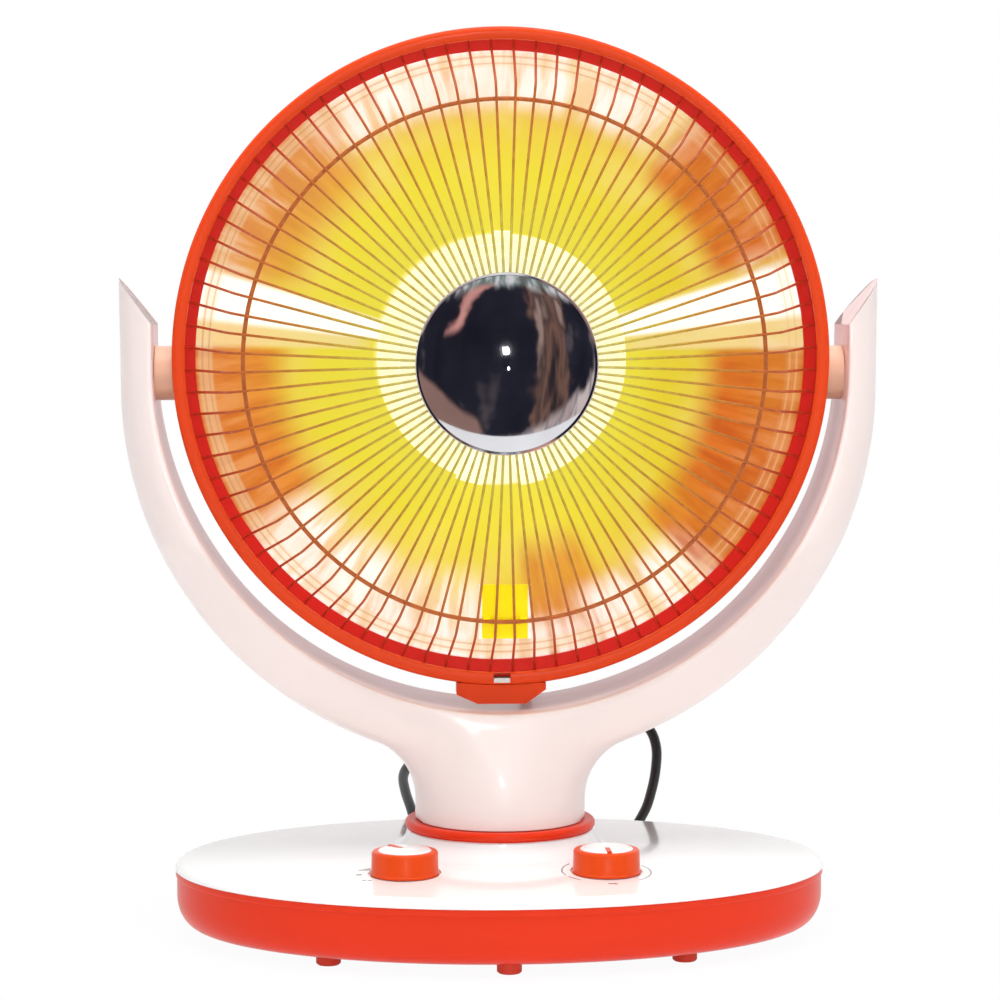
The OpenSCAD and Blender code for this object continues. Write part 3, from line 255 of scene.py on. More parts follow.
class Finish:
    """A material with its node tree and the pattern nodes that the finishes share."""

    def __init__(self, name):
        self.material = bpy.data.materials.new(name)
        self.material.use_nodes = True
        self.nodes = self.material.node_tree.nodes
        self.links = self.material.node_tree.links
        self.shader = self.nodes["Principled BSDF"]
        self.place = self.nodes.new("ShaderNodeTexCoord").outputs["Object"]

    def link(self, a, b):
        self.links.new(a, b)

    def add(self, kind, **values):
        node = self.nodes.new(kind)
        for key, value in values.items():
            setattr(node, key, value)
        return node

    def noise(self, scale, detail=2.0, rough=0.5, stretch=None, at=None):
        node = self.add("ShaderNodeTexNoise")
        node.inputs["Scale"].default_value = scale
        node.inputs["Detail"].default_value = detail
        node.inputs["Roughness"].default_value = rough
        where = self.place if at is None else at
        if stretch is not None:
            mapping = self.add("ShaderNodeMapping")
            mapping.inputs["Scale"].default_value = stretch
            self.link(where, mapping.inputs["Vector"])
            where = mapping.outputs["Vector"]
        self.link(where, node.inputs["Vector"])
        return node.outputs["Fac"]

    def ramp(self, value, stops):
        node = self.add("ShaderNodeValToRGB")
        ramp = node.color_ramp
        while len(ramp.elements) > 1:
            ramp.elements.remove(ramp.elements[-1])
        ramp.elements[0].position, ramp.elements[0].color = stops[0]
        for at, colour in stops[1:]:
            ramp.elements.new(at).color = colour
        self.link(value, node.inputs["Fac"])
        return node.outputs["Color"]

    def spread(self, value, low, high, start=0.0, end=1.0):
        node = self.add("ShaderNodeMapRange")
        node.inputs["From Min"].default_value = start
        node.inputs["From Max"].default_value = end
        node.inputs["To Min"].default_value = low
        node.inputs["To Max"].default_value = high
        self.link(value, node.inputs["Value"])
        return node.outputs["Result"]

    def math(self, operation, a, b=None):
        node = self.add("ShaderNodeMath", operation=operation)
        for socket, value in zip(node.inputs, (a, b)):
            if value is None:
                continue
            if isinstance(value, (int, float)):
                socket.default_value = value
            else:
                self.link(value, socket)
        return node.outputs[0]

    def times(self, *values):
        product = values[0]
        for value in values[1:]:
            product = self.math("MULTIPLY", product, value)
        return product

    def mix(self, share, a, b):
        node = self.add("ShaderNodeMix", data_type="RGBA")
        for socket, value in ((node.inputs[0], share), (node.inputs[6], a), (node.inputs[7], b)):
            if isinstance(value, (int, float, list, tuple)):
                socket.default_value = value
            else:
                self.link(value, socket)
        return node.outputs[2]

    def smooth(self, value, start, end):
        """Rises from 0 to 1 between start and end, or falls where end is the lower."""
        node = self.add("ShaderNodeMapRange", interpolation_type="SMOOTHSTEP")
        low, high, first, last = (start, end, 0.0, 1.0) if start < end else (end, start, 1.0, 0.0)
        node.inputs["From Min"].default_value = low
        node.inputs["From Max"].default_value = high
        node.inputs["To Min"].default_value = first
        node.inputs["To Max"].default_value = last
        self.link(value, node.inputs["Value"])
        return node.outputs["Result"]

    def band(self, value, low, high, soft):
        return self.times(self.smooth(value, low - soft, low + soft),
                          self.smooth(value, high + soft, high - soft))

    def most(self, *shares):
        top = shares[0]
        for share in shares[1:]:
            top = self.math("MAXIMUM", top, share)
        return top

    def paint(self, colour, glows=False):
        """Links a colour to the shader, and to its own light where the piece glows."""
        self.link(colour, self.shader.inputs["Base Color"])
        if glows:
            self.link(colour, self.shader.inputs["Emission Color"])

    def gloss(self, pattern, low, high):
        self.link(self.spread(pattern, low, high), self.shader.inputs["Roughness"])

    def bump(self, height, strength, distance=0.001):
        node = self.add("ShaderNodeBump")
        node.inputs["Strength"].default_value = strength
        node.inputs["Distance"].default_value = distance
        self.link(height, node.inputs["Height"])
        self.link(node.outputs["Normal"], self.shader.inputs["Normal"])

    def set(self, **values):
        for key, value in values.items():
            self.shader.inputs[key.replace("_", " ")].default_value = value


def moulded(name, colour, rough, coat=0.35, drift=0.05, skin=0.05, shine=0.5):
    """Gloss moulding: a slow drift of colour, a faint orange peel and uneven gloss."""
    f = Finish(name)
    base = tone(*colour)
    stops = [(0.3, shaded(base, 1 - drift)), (0.7, shaded(base, 1 + drift * 0.6))]
    f.paint(f.ramp(f.noise(9, 3), stops))
    f.gloss(f.noise(45, 4), rough - 0.05, rough + 0.07)
    f.bump(f.noise(260, 2), skin, 0.0002)
    f.set(Coat_Weight=coat, Coat_Roughness=0.08, Specular_IOR_Level=shine)
    return f.material


def printed_cover(name):
    """Gloss white cover with plain grey setting marks printed round its two knobs."""
    f = Finish(name)
    parts = f.add("ShaderNodeSeparateXYZ")
    f.link(f.place, parts.inputs["Vector"])
    y = f.math("ADD", parts.outputs["Y"], KNOB_Y * MM)
    right = f.math("ADD", parts.outputs["X"], -KNOB_X * MM)
    left = f.math("ADD", parts.outputs["X"], KNOB_X * MM)
    away = f.math("SQRT", f.math("ADD", f.times(right, right), f.times(y, y)))
    ring = f.band(away, 0.0213, 0.0221, 0.0001)
    east = f.times(f.math("ARCTAN2", y, right), 180 / math.pi)
    west = f.times(f.math("ARCTAN2", y, f.times(right, -1.0)), 180 / math.pi)
    arcs = f.most(f.band(east, -47, 34, 1), f.band(west, -51, -28, 1), f.band(west, -21, 38, 1))
    ring = f.times(ring, arcs)

    def dash(across, x0, x1, y0, y1):
        return f.times(f.band(across, x0 * MM, x1 * MM, 0.0001), f.band(y, y0 * MM, y1 * MM, 0.0002))
    taper = f.math("ADD", f.times(left, 0.55), 0.0078 + 0.0225 * 0.55)
    wedge = f.times(f.band(left, -0.0225, -0.0166, 0.0001), f.smooth(y, 0.0062, 0.0068),
                    f.smooth(f.math("SUBTRACT", taper, y), -0.0002, 0.0002))
    marks = f.most(ring, wedge, dash(right, -1.0, 3.8, -23.9, -22.4), dash(left, -23.6, -21.0, -2.4, 0.2),
                   dash(left, -20.8, -18.9, -12.4, -11.0), dash(left, -18.2, -16.2, -12.8, -11.4))
    base = f.ramp(f.noise(9, 3), [(0.3, tone(252, 252, 252)), (0.7, tone(255, 255, 255))])
    ink = f.ramp(f.noise(400, 2), [(0.4, tone(96, 98, 100)), (0.6, tone(140, 142, 142))])
    f.paint(f.mix(marks, base, ink))
    f.gloss(f.noise(45, 4), 0.1, 0.2)
    f.bump(f.noise(260, 2), 0.01, 0.0002)
    f.set(Coat_Weight=0.4, Coat_Roughness=0.06)
    return f.material


def matt(name, colour, rough, grain=500, skin=0.15):
    """Matt plastic, rubber or fired clay with a fine grain."""
    f = Finish(name)
    base = tone(*colour)
    f.paint(f.ramp(f.noise(grain / 6, 3), [(0.35, shaded(base, 0.88)), (0.65, base)]))
    f.gloss(f.noise(60, 3), rough - 0.06, rough + 0.06)
    f.bump(f.noise(grain, 3), skin, 0.0004)
    return f.material


def metal(name, colour, rough, stretch=(40, 40, 900), skin=0.06):
    """Bare metal with fine lines and duller patches."""
    f = Finish(name)
    base = tone(*colour)
    f.paint(f.ramp(f.noise(1, 4, 0.6, stretch), [(0.3, shaded(base, 0.82)), (0.7, base)]))
    f.gloss(f.noise(70, 3), rough - 0.07, rough + 0.1)
    f.bump(f.noise(1, 2, 0.5, stretch), skin, 0.0003)
    f.set(Metallic=1.0)
    return f.material


def wire_painted_glow(name):
    """Wire whose colour is painted light: the tube's glow painted yellow towards the middle and coppery red
    towards the edge, with a painted glow of its own, strongest towards the middle.
    """
    f = Finish(name)
    radius = head_place(f)[0]
    share = f.spread(radius, 0.0, 1.0, 0.0, RIM_LIP * MM)
    # painted glow and reflection: yellow near the middle, coppery red near the rim
    base = f.ramp(share, [(0.28, tone(172, 164, 100)), (0.4, tone(174, 158, 52)), (0.6, tone(174, 128, 40)),
                          (0.8, tone(178, 94, 32)), (0.95, tone(172, 62, 30)), (1.0, tone(186, 40, 28))])
    worn = f.ramp(f.noise(240, 3), [(0.35, tone(214, 204, 196)), (0.7, tone(255, 255, 255))])
    both = f.add("ShaderNodeMix", data_type="RGBA", blend_type="MULTIPLY")
    both.inputs[0].default_value = 0.7
    f.link(base, both.inputs[6])
    f.link(worn, both.inputs[7])
    f.paint(both.outputs[2], glows=True)
    f.gloss(f.noise(300, 2), 0.3, 0.45)
    f.bump(f.noise(1200, 2), 0.08, 0.0002)
    # painted glow: the wire gives off light of its own, most towards the middle
    f.link(f.spread(share, 0.6, 0.26, 0.3, 0.85), f.shader.inputs["Emission Strength"])
    f.set(Coat_Weight=0.1, Coat_Roughness=0.15)
    return f.material


def mirror_chrome(name):
    """Bright chrome with faint polishing swirls."""
    f = Finish(name)
    f.paint(f.ramp(f.noise(30, 2), [(0.3, tone(212, 212, 216)), (0.7, tone(232, 232, 236))]))
    f.gloss(f.noise(220, 3), 0.03, 0.09)
    f.bump(f.noise(60, 2), 0.02, 0.0005)
    f.set(Metallic=1.0)
    return f.material


def head_place(f):
    """Distance from the head's axis, the turn round it, and the two offsets, on the head's own plane."""
    mapping = f.add("ShaderNodeMapping")
    mapping.inputs["Location"].default_value = (0, 0, -HEAD_Z)
    f.link(f.place, mapping.inputs["Vector"])
    parts = f.add("ShaderNodeSeparateXYZ")
    f.link(mapping.outputs["Vector"], parts.inputs["Vector"])
    x, z = parts.outputs["X"], parts.outputs["Z"]
    radius = f.math("SQRT", f.math("ADD", f.times(x, x), f.times(z, z)))
    return radius, f.math("ARCTAN2", z, x), x, z


# Patches of painted reflection on the lit dish: from one turn to another in degrees, outside a share of the
# radius, softness of the sides in degrees, softness of the inner end, strength.
AMBER_REFLECTIONS = [(20, 51, 0.77, 3, 0.05, 0.92), (127, 161, 0.72, 4, 0.08, 0.62),
               (178, 190, 0.72, 1, 0.06, 0.95), (-190, -145, 0.74, 3, 0.07, 0.95),
               (-47, 1.8, 0.72, 2, 0.06, 0.95), (-84, -66, 0.66, 3, 0.08, 0.75)]
PALE_REFLECTIONS = [(53, 126, 0.84, 6, 0.05, 1.0), (-144, -95, 0.77, 4, 0.07, 1.0),
              (-72, -46, 0.84, 5, 0.05, 1.0), (-100, -70, 0.9, 4, 0.04, 0.8)]
PEACH_REFLECTIONS = [(172, 177.6, 0.45, 0.8, 0.05, 0.7), (1.8, 8.4, 0.45, 0.8, 0.05, 0.7)]
WHITE_REFLECTIONS = [(163.2, 172.8, 0.40, 0.9, 0.02, 1.0), (7.8, 17.8, 0.40, 0.9, 0.02, 1.0)]


def painted_glow_dish(name):
    """Polished dish with the tube's glow and the studio's reflections painted into its colour and its own
    light: yellow glow inside, amber and pale reflected fans towards its mouth.
    """
    f = Finish(name)
    radius, turn, x = head_place(f)[:3]
    s = f.spread(radius, 0.0, 1.0, 0.0, MOUTH_R * MM)
    deg = f.times(turn, 180 / math.pi)

    def streaks(fine, along, scale):
        spun = f.add("ShaderNodeCombineXYZ")
        f.link(f.times(f.math("COSINE", turn), fine), spun.inputs["X"])
        f.link(f.times(f.math("SINE", turn), fine), spun.inputs["Y"])
        f.link(f.times(s, along), spun.inputs["Z"])
        return f.noise(scale, 4, at=spun.outputs["Vector"])

    def marked(table):
        return f.most(*(f.times(f.band(deg, low, high, soft), f.smooth(s, near - deep, near + deep), share)
                        for low, high, near, soft, deep, share in table))

    wide, fine = streaks(2.2, 3.0, 1.6), streaks(9.0, 2.0, 2.0)
    # painted glow: pale yellow round the tube, bright yellow beyond it, paler orange towards the mouth
    paint = f.ramp(s, [
        (0.0, tone(252, 246, 206)), (0.398, tone(250, 243, 204)), (0.418, tone(244, 234, 78)),
        (0.62, tone(243, 230, 62)), (0.76, tone(240, 214, 76)), (0.86, tone(238, 186, 96)),
        (1.0, tone(240, 182, 124))])
    # painted shade: a deeper yellow on the right side at mid radius
    deeper = f.times(f.smooth(x, 0.02, 0.12), f.smooth(s, 0.46, 0.58), 0.6)
    paint = f.mix(deeper, paint, tone(228, 200, 40))
    # painted light: pale yellow patches over the outer part
    washed = f.times(f.smooth(s, 0.5, 0.8), f.spread(wide, 0.0, 0.55, 0.45, 0.65))
    paint = f.mix(washed, paint, tone(248, 230, 128))
    # painted reflection: amber patches, darker and redder on the right
    amber = marked(AMBER_REFLECTIONS)
    ripe = f.times(amber, f.spread(wide, 0.78, 1.0, 0.3, 0.6))
    on_right = f.smooth(x, 0.05, 0.12)
    painted_amber_reflection = f.mix(on_right, f.ramp(fine, [(0.35, tone(208, 96, 20)), (0.62, tone(232, 138, 48))]),
                   f.ramp(fine, [(0.35, tone(202, 78, 16)), (0.62, tone(223, 110, 32))]))
    paint = f.mix(ripe, paint, painted_amber_reflection)
    # painted reflection: near-white patches
    pale = f.times(marked(PALE_REFLECTIONS), f.spread(fine, 0.3, 1.0, 0.36, 0.56))
    paint = f.mix(pale, paint, tone(255, 247, 243))
    # painted reflection: pinkish near the mouth, faint over the amber patches
    painted_pink_reflection = f.times(f.smooth(s, 0.82, 0.9), f.spread(fine, 0.0, 0.8, 0.48, 0.62),
                    f.math("SUBTRACT", 1.0, f.times(amber, 0.95)))
    paint = f.mix(painted_pink_reflection, paint, f.ramp(wide, [(0.4, tone(250, 222, 200)), (0.6, tone(255, 246, 240))]))
    # painted reflection: peach patches to the left and right of the middle
    paint = f.mix(marked(PEACH_REFLECTIONS), paint, tone(253, 230, 168))
    # painted reflection: white fans to the left and right
    fans = marked(WHITE_REFLECTIONS)
    paint = f.mix(fans, paint, tone(255, 252, 244))
    # painted light: a pale band at the lip, stronger on the left, and two thin rings near it, darker on the
    # left and lighter on the right
    lines = f.most(f.band(s, 0.961, 0.965, 0.003), f.band(s, 0.981, 0.986, 0.003))
    lip = f.times(f.band(s, 0.952, 0.996, 0.006), f.spread(on_right, 0.45, 0.12))
    paint = f.mix(lip, paint, tone(246, 214, 170))
    paint = f.mix(f.times(lines, 0.6), paint, f.mix(on_right, tone(202, 138, 84), tone(248, 196, 130)))
    # painted glow: pale yellow filled in at the bottom, in the gap between the tube's ends
    gap = f.times(f.band(deg, -100.5, -79.5, 1.5), f.smooth(s, 0.452, 0.44))
    paint = f.mix(gap, paint, tone(250, 243, 204))
    # the painted colour, darkened, is the base colour, and as painted it is also the dish's own light: at
    # least 0.74 strong, more inside the tube's ring, in the gap and on the white and pale reflections
    f.link(f.mix(0.72, paint, tone(60, 30, 8)), f.shader.inputs["Base Color"])
    f.link(paint, f.shader.inputs["Emission Color"])
    bright = f.most(f.smooth(s, 0.43, 0.40), fans, gap, f.times(pale, 0.7))
    f.link(f.spread(bright, 0.74, 0.95), f.shader.inputs["Emission Strength"])
    f.set(Metallic=0.6)
    f.gloss(f.noise(35, 3), 0.3, 0.42)
    rings = f.math("SINE", f.times(radius, 900.0))
    f.bump(rings, 0.04, 0.0005)
    return f.material


def labelled_plate(name):
    """White plate with a plain yellow panel on its front, brightened by a faint painted glow."""
    f = Finish(name)
    x, z = head_place(f)[2:]
    panel = f.times(f.band(x, -0.0112, 0.0112, 0.0002), f.smooth(z, -0.1088, -0.1092))
    paint = f.mix(panel, f.ramp(f.noise(80, 2), [(0.3, tone(255, 246, 232)), (0.7, tone(255, 252, 246))]),
                  f.ramp(f.noise(60, 3), [(0.3, tone(242, 220, 0)), (0.7, tone(248, 230, 0))]))
    # painted glow: the plate's colours also give off a faint light of their own
    f.paint(paint, glows=True)
    f.gloss(f.noise(120, 2), 0.4, 0.55)
    f.set(Emission_Strength=0.2, Specular_IOR_Level=0.2)
    return f.material


def lit_piece(name, colour, strength):
    """Ceramic or metal so close to the tube that it looks as bright."""
    f = Finish(name)
    full = tone(*colour)
    f.paint(f.ramp(f.noise(150, 3), [(0.3, shaded(full, 0.9)), (0.7, full)]), glows=True)
    f.gloss(f.noise(200, 2), 0.4, 0.55)
    f.set(Emission_Strength=strength)
    return f.material


def catch_plate(name):
    """Bright plate whose hook, up in the rim's slot, is painted near-black as painted shade in the slot."""
    f = Finish(name)
    z = head_place(f)[3]
    # painted shade: the part up in the rim's slot is near-black
    hook = f.smooth(z, -0.1590, -0.1586)
    paint = f.ramp(f.noise(200, 2), [(0.3, tone(236, 236, 232)), (0.7, tone(250, 250, 248))])
    f.paint(f.mix(hook, paint, tone(20, 18, 18)))
    f.gloss(f.noise(160, 2), 0.35, 0.5)
    f.set(Metallic=0.3)
    return f.material


def lit_tube(name):
    """Quartz tube with the lit ribbon behind it."""
    f = Finish(name)
    f.link(f.ramp(f.noise(60, 2), [(0.3, tone(252, 244, 196)), (0.7, tone(255, 250, 218))]),
           f.shader.inputs["Emission Color"])
    f.paint(f.ramp(f.noise(60, 2), [(0.3, tone(140, 120, 60)), (0.7, tone(160, 140, 80))]))
    f.gloss(f.noise(200, 2), 0.08, 0.14)
    f.set(Emission_Strength=0.95)
    return f.material


# ---- the yoke ----

def yoke_flare():
    """Centre of the flare between neck and arm, and the turn it goes through, in radians."""
    x = NECK_R + FLARE_R
    z = OUTER_Z - math.sqrt((OUTER_R + FLARE_R) ** 2 - x ** 2)
    return x, z, math.atan2(OUTER_Z - z, x)


def yoke_half_width(z):
    flare_x, flare_z, turn = yoke_flare()
    if z <= flare_z:
        return NECK_R
    if z <= flare_z + FLARE_R * math.sin(turn):
        return flare_x - math.sqrt(max(0, FLARE_R ** 2 - (z - flare_z) ** 2))
    if z <= OUTER_Z:
        return math.sqrt(OUTER_R ** 2 - (OUTER_Z - z) ** 2)
    return OUTER_R + TIP_OUT * (z - OUTER_Z) / (TIP_Z - OUTER_Z)


def yoke_front_at(x, z):
    """How far the yoke's surface stands off its middle plane at x, z."""
    flare_z = yoke_flare()[1]
    f = min(1, max(0, (z - flare_z) / 55))
    s = f * f * (3 - 2 * f)
    up = LOW_D + (TIP_D - LOW_D) * max(0, z - 120) / (TIP_Z - 120)
    deep = NECK_R + (up - NECK_R) * s
    side = yoke_half_width(z)
    g = min(1, max(0, (z - flare_z) / (OUTER_Z - flare_z) * 1.6))
    flank = side - 1 if z <= flare_z else (side - 1) * (1 - g) + FLANK * OUTER_R / side * g
    flank = min(side - 1, flank)
    over = (abs(x) - (side - flank)) / flank
    if over <= 0:
        return deep
    return deep * math.sqrt(max(0, 1 - over * over))


def yoke_rows():
    """Pairs of a point on the inner arc and one on the outline, from the middle to the right tip."""
    flare_x, flare_z, turn = yoke_flare()
    turn = math.degrees(turn)
    line = [(NECK_R * i / 12, NECK_Z) for i in range(12)]
    line += [(NECK_R, NECK_Z + (flare_z - NECK_Z) * i / 5) for i in range(5)]
    line += [(flare_x - FLARE_R * math.cos(math.radians(t)), flare_z + FLARE_R * math.sin(math.radians(t)))
             for t in (turn * i / 20 for i in range(20))]
    line += [(OUTER_R * math.sin(math.radians(a)), OUTER_Z - OUTER_R * math.cos(math.radians(a)))
             for a in (90 - turn + turn * i / 72 for i in range(73))]
    line += [(OUTER_R + TIP_OUT * i / 14, OUTER_Z + (TIP_Z - OUTER_Z) * i / 14) for i in range(1, 15)]
    rows = []
    for x, z in line:
        if z <= INNER_Z:
            away = math.hypot(x, INNER_Z - z)
            rows.append(((INNER_R * x / away, INNER_Z - INNER_R * (INNER_Z - z) / away), (x, z)))
        else:
            t = (z - INNER_Z) / (TIP_Z - INNER_Z)
            rows.append(((INNER_R, INNER_Z + t * (TIP_Z - TIP_DROP - INNER_Z)), (x, z)))
    return rows


def yoke_shell(name, side):
    """A grid is laid over one face of the yoke, from tip to tip, and closed at the seam."""
    right = yoke_rows()
    rows = [((-q[0], q[1]), (-p[0], p[1])) for q, p in reversed(right[1:])] + right
    nothing_selected()
    columns = YOKE_ACROSS + 7
    bpy.ops.mesh.primitive_grid_add(x_subdivisions=len(rows) - 1, y_subdivisions=columns - 1, size=1)
    piece = bpy.context.object
    piece.name = piece.data.name = name
    order = sorted(range(len(piece.data.vertices)), key=lambda i: (
        round(piece.data.vertices[i].co.x, 5), round(piece.data.vertices[i].co.y, 5)))
    for k, (q, p) in enumerate(rows):
        length = math.hypot(p[0] - q[0], p[1] - q[1])
        way = ((p[0] - q[0]) / length, (p[1] - q[1]) / length)

        def at(d):
            return q[0] + way[0] * d, q[1] + way[1] * d
        x, z = at(YOKE_EDGE)
        deep = yoke_front_at(x, z)
        line = [(*q, 0.0), (*q, (deep - YOKE_EDGE) / 2)]
        for t in (0, 30, 60):
            x, z = at(YOKE_EDGE - YOKE_EDGE * math.cos(math.radians(t)))
            line.append((x, z, deep - YOKE_EDGE + YOKE_EDGE * math.sin(math.radians(t))))
        for j in range(YOKE_ACROSS + 1):
            x, z = at(YOKE_EDGE + (length - YOKE_EDGE) * math.sin(math.radians(90 * j / YOKE_ACROSS)))
            line.append((x, z, yoke_front_at(x, z)))
        line.append((*p, 0.0))
        for j, (x, z, y) in enumerate(line):
            vertex = piece.data.vertices[order[k * columns + j]]
            vertex.co = (x * MM, side * (y + HALF_SEAM) * MM, z * MM)
    edit(piece)
    bpy.ops.mesh.select_all(action="SELECT")
    bpy.ops.mesh.remove_doubles(threshold=0.00002)
    bpy.ops.object.mode_set(mode="OBJECT")
    for tip in (-1, 1):
        reach = [((rows[-1][i][0] * tip) * MM, rows[-1][i][1] * MM) for i in (0, 1)]
        slope = (reach[1][1] - reach[0][1]) / (reach[1][0] - reach[0][0])
        for v in piece.data.vertices:
            v.select = (abs(v.co.z - reach[0][1] - slope * (v.co.x - reach[0][0])) < 0.00002
                        and v.co.x * tip > 0.17)
        bpy.ops.object.mode_set(mode="EDIT")
        bpy.ops.mesh.select_mode(type="VERT")
        bpy.ops.mesh.edge_face_add()
        bpy.ops.mesh.select_all(action="DESELECT")
        bpy.ops.object.mode_set(mode="OBJECT")
    for v in piece.data.vertices:
        v.select = False
    bpy.ops.object.mode_set(mode="EDIT")
    bpy.ops.mesh.select_mode(type="EDGE")
    bpy.ops.mesh.select_non_manifold(extend=False)
    bpy.ops.mesh.edge_face_add()
    bpy.ops.mesh.select_all(action="SELECT")
    bpy.ops.mesh.normals_make_consistent(inside=False)
    return done(piece, 32)


# ---- the base ----

def base_pan():
    levels = [(110, FOOT_H), (60, FOOT_H)] + arc(12.4, FOOT_H + 15.5, 11.5, 15.5, 270, 180, 12)
    levels += [(0.9, SEAM_Z - 3.4), (0.35, SEAM_Z - 2.8), (0.3, SEAM_Z - 2.6), (0.3, SEAM_Z - 0.4),
               (0.7, SEAM_Z - 0.05)]
    return ovals("base_pan", levels)


def base_cover():
    levels = [(8, SEAM_Z), (0.35, SEAM_Z), (0.0, SEAM_Z + 0.35)]
    levels += arc(EDGE_IN, SEAM_Z, EDGE_IN, EDGE_H, 172, 90, 10)
    for i in range(1, 17):
        f = 0.96 * i / 16
        levels.append((EDGE_IN + f * (HALF_D - EDGE_IN), SEAM_Z + EDGE_H + CROWN_H * (1 - (1 - f) ** 2)))
    cover = ovals("base_cover", levels)
    foot = PLINTH_R + PLINTH_SWEEP
    sweep = arc(foot, PLINTH_Z, -PLINTH_SWEEP, TOP_Z - 1 - PLINTH_Z, 90, 0, 14)
    section = [(0, TOP_Z - 6), (foot + 12, TOP_Z - 6), (foot + 12, TOP_Z - 2.6)] + sweep[:-1]
    section += [(PLINTH_R, PLINTH_Z - 0.8), (PLINTH_R - 0.8, PLINTH_Z), (0, PLINTH_Z)]
    joined_by(cover, turned("plinth", section), "UNION")
    for side in (-1, 1):
        seat = rod_block("seat", KNOB_R + 0.9, KNOB_SEAT, 60, side * KNOB_X, -KNOB_Y)
        joined_by(cover, seat, "DIFFERENCE")
    return done(cover, 30)


def knob_body(name, side):
    points = [(0, 0), (KNOB_R - 0.3, 0), (KNOB_R, 0.3), (KNOB_R, 1.1), (KNOB_R - 0.3, 1.4),
              (KNOB_R - 0.5, 1.7), (KNOB_R - 0.7, KNOB_H - 1.3), (KNOB_R - 0.85, KNOB_H - 0.7),
              (KNOB_R - 1.3, KNOB_H - 0.2), (KNOB_R - 1.9, KNOB_H), (CAP_R + 0.15, KNOB_H),
              (CAP_R, KNOB_H - 0.15), (CAP_R, KNOB_H - 1.4), (0, KNOB_H - 1.4)]
    piece = turned(name, points, 96)
    return placed(piece, Matrix.Translation((side * KNOB_X * MM, -KNOB_Y * MM, KNOB_Z * MM)))


# ---- the head ----

def front_rim():
    points = [(RIM_LIP, RIM_Z - 3.2), (RIM_LIP, RIM_Z - 0.9), (RIM_LIP + 0.25, RIM_Z - 0.35),
              (RIM_LIP + 0.9, RIM_Z)] + arc(RIM_R - 2.4, RIM_Z - 2.4, 2.4, 2.4, 90, 0, 8)
    points += [(RIM_R, RIM_BACK + 0.4), (RIM_R - 0.4, RIM_BACK), (RIM_R - 1.6, RIM_BACK),
               (RIM_R - 2, RIM_BACK + 0.4), (RIM_R - 2, RIM_Z - 3.2), (RIM_LIP, RIM_Z - 3.2)]
    rim = turned("front_rim", points, 216)
    slot = box("slot", (-4.2, 3.2 - RIM_R, RIM_BACK - 1), (4.2, 6.2 - RIM_R, RIM_Z + 2))
    joined_by(rim, slot, "DIFFERENCE")
    return placed(done(rim), HEAD)


def dish_at(r):
    """Height of the dish's face, a bowl of parabolic section."""
    return DISH_FOOT + DISH_H * r * r / (MOUTH_R * MOUTH_R)


def reflector_dish():
    """The sheet dish, with a number on each face: 0 for the lit front, 1 for the dull back."""
    front = [(MOUTH_R * i / 60, dish_at(MOUTH_R * i / 60)) for i in range(61)]
    back = [(r, z - DISH_SHEET) for r, z in reversed(front)]
    points = front + [(MOUTH_R + DISH_LIP, DISH_Z), (MOUTH_R + DISH_LIP, DISH_Z - DISH_SHEET)] + back
    piece = turned("reflector_dish", points, 192)
    for face in piece.data.polygons:
        face.material_index = int(face.normal.z < 0)
    return placed(piece, HEAD)


def guard_cage():
    """One bent wire, spun round the head's axis as copies."""
    nothing_selected()
    path = [(WIRE_END, WIRE_Z), (WIRE_TURN + 2.6, WIRE_Z), (WIRE_TURN + 0.5, WIRE_Z + 0.7),
            (WIRE_TURN - 0.9, WIRE_Z + 2.6), (SHOULDER_R + 3.0, SHOULDER_Z - 6.5),
            (SHOULDER_R + 1.3, SHOULDER_Z - 2.9), (SHOULDER_R - 0.6, SHOULDER_Z - 0.8),
            (SHOULDER_R - 3.6, SHOULDER_Z + 0.1), (HUB_R + 40, SHOULDER_Z + 7.89), (HUB_R, HUB_Z)]
    bpy.ops.mesh.primitive_circle_add(vertices=8, radius=WIRE_R * MM, fill_type="NGON",
                                      rotation=(0, math.radians(90), 0),
                                      location=(path[0][0] * MM, 0, path[0][1] * MM))
    piece = bpy.context.object
    piece.name = piece.data.name = "guard_cage"
    bpy.ops.object.transform_apply(location=True, rotation=True, scale=True)
    bpy.ops.object.mode_set(mode="EDIT")
    bpy.ops.mesh.select_all(action="SELECT")
    heading = math.pi
    for k, (a, b) in enumerate(zip(path, path[1:])):
        after = path[min(k + 2, len(path) - 1)]
        ahead = math.atan2(b[1] - a[1], b[0] - a[0])
        beyond = math.atan2(after[1] - b[1], after[0] - b[0]) if k + 2 < len(path) else ahead
        ahead, beyond = ahead % (2 * math.pi), beyond % (2 * math.pi)
        middle = (ahead + beyond) / 2
        bpy.ops.mesh.extrude_region_move(TRANSFORM_OT_translate={
            "value": ((b[0] - a[0]) * MM, 0, (b[1] - a[1]) * MM)})
        bpy.ops.transform.rotate(value=(middle - heading), orient_axis="Y",
                                 center_override=(b[0] * MM, 0, b[1] * MM))
        heading = middle
    bpy.ops.mesh.select_all(action="SELECT")
    bpy.ops.transform.rotate(value=math.radians(180 / WIRES), orient_axis="Z", center_override=(0, 0, 0))
    bpy.ops.mesh.spin(steps=WIRES, dupli=True, angle=2 * math.pi, center=(0, 0, 0), axis=(0, 0, 1))
    bpy.ops.mesh.select_all(action="SELECT")
    bpy.ops.mesh.remove_doubles(threshold=0.00002)
    bpy.ops.mesh.normals_make_consistent(inside=False)
    return placed(done(piece, 50), HEAD)


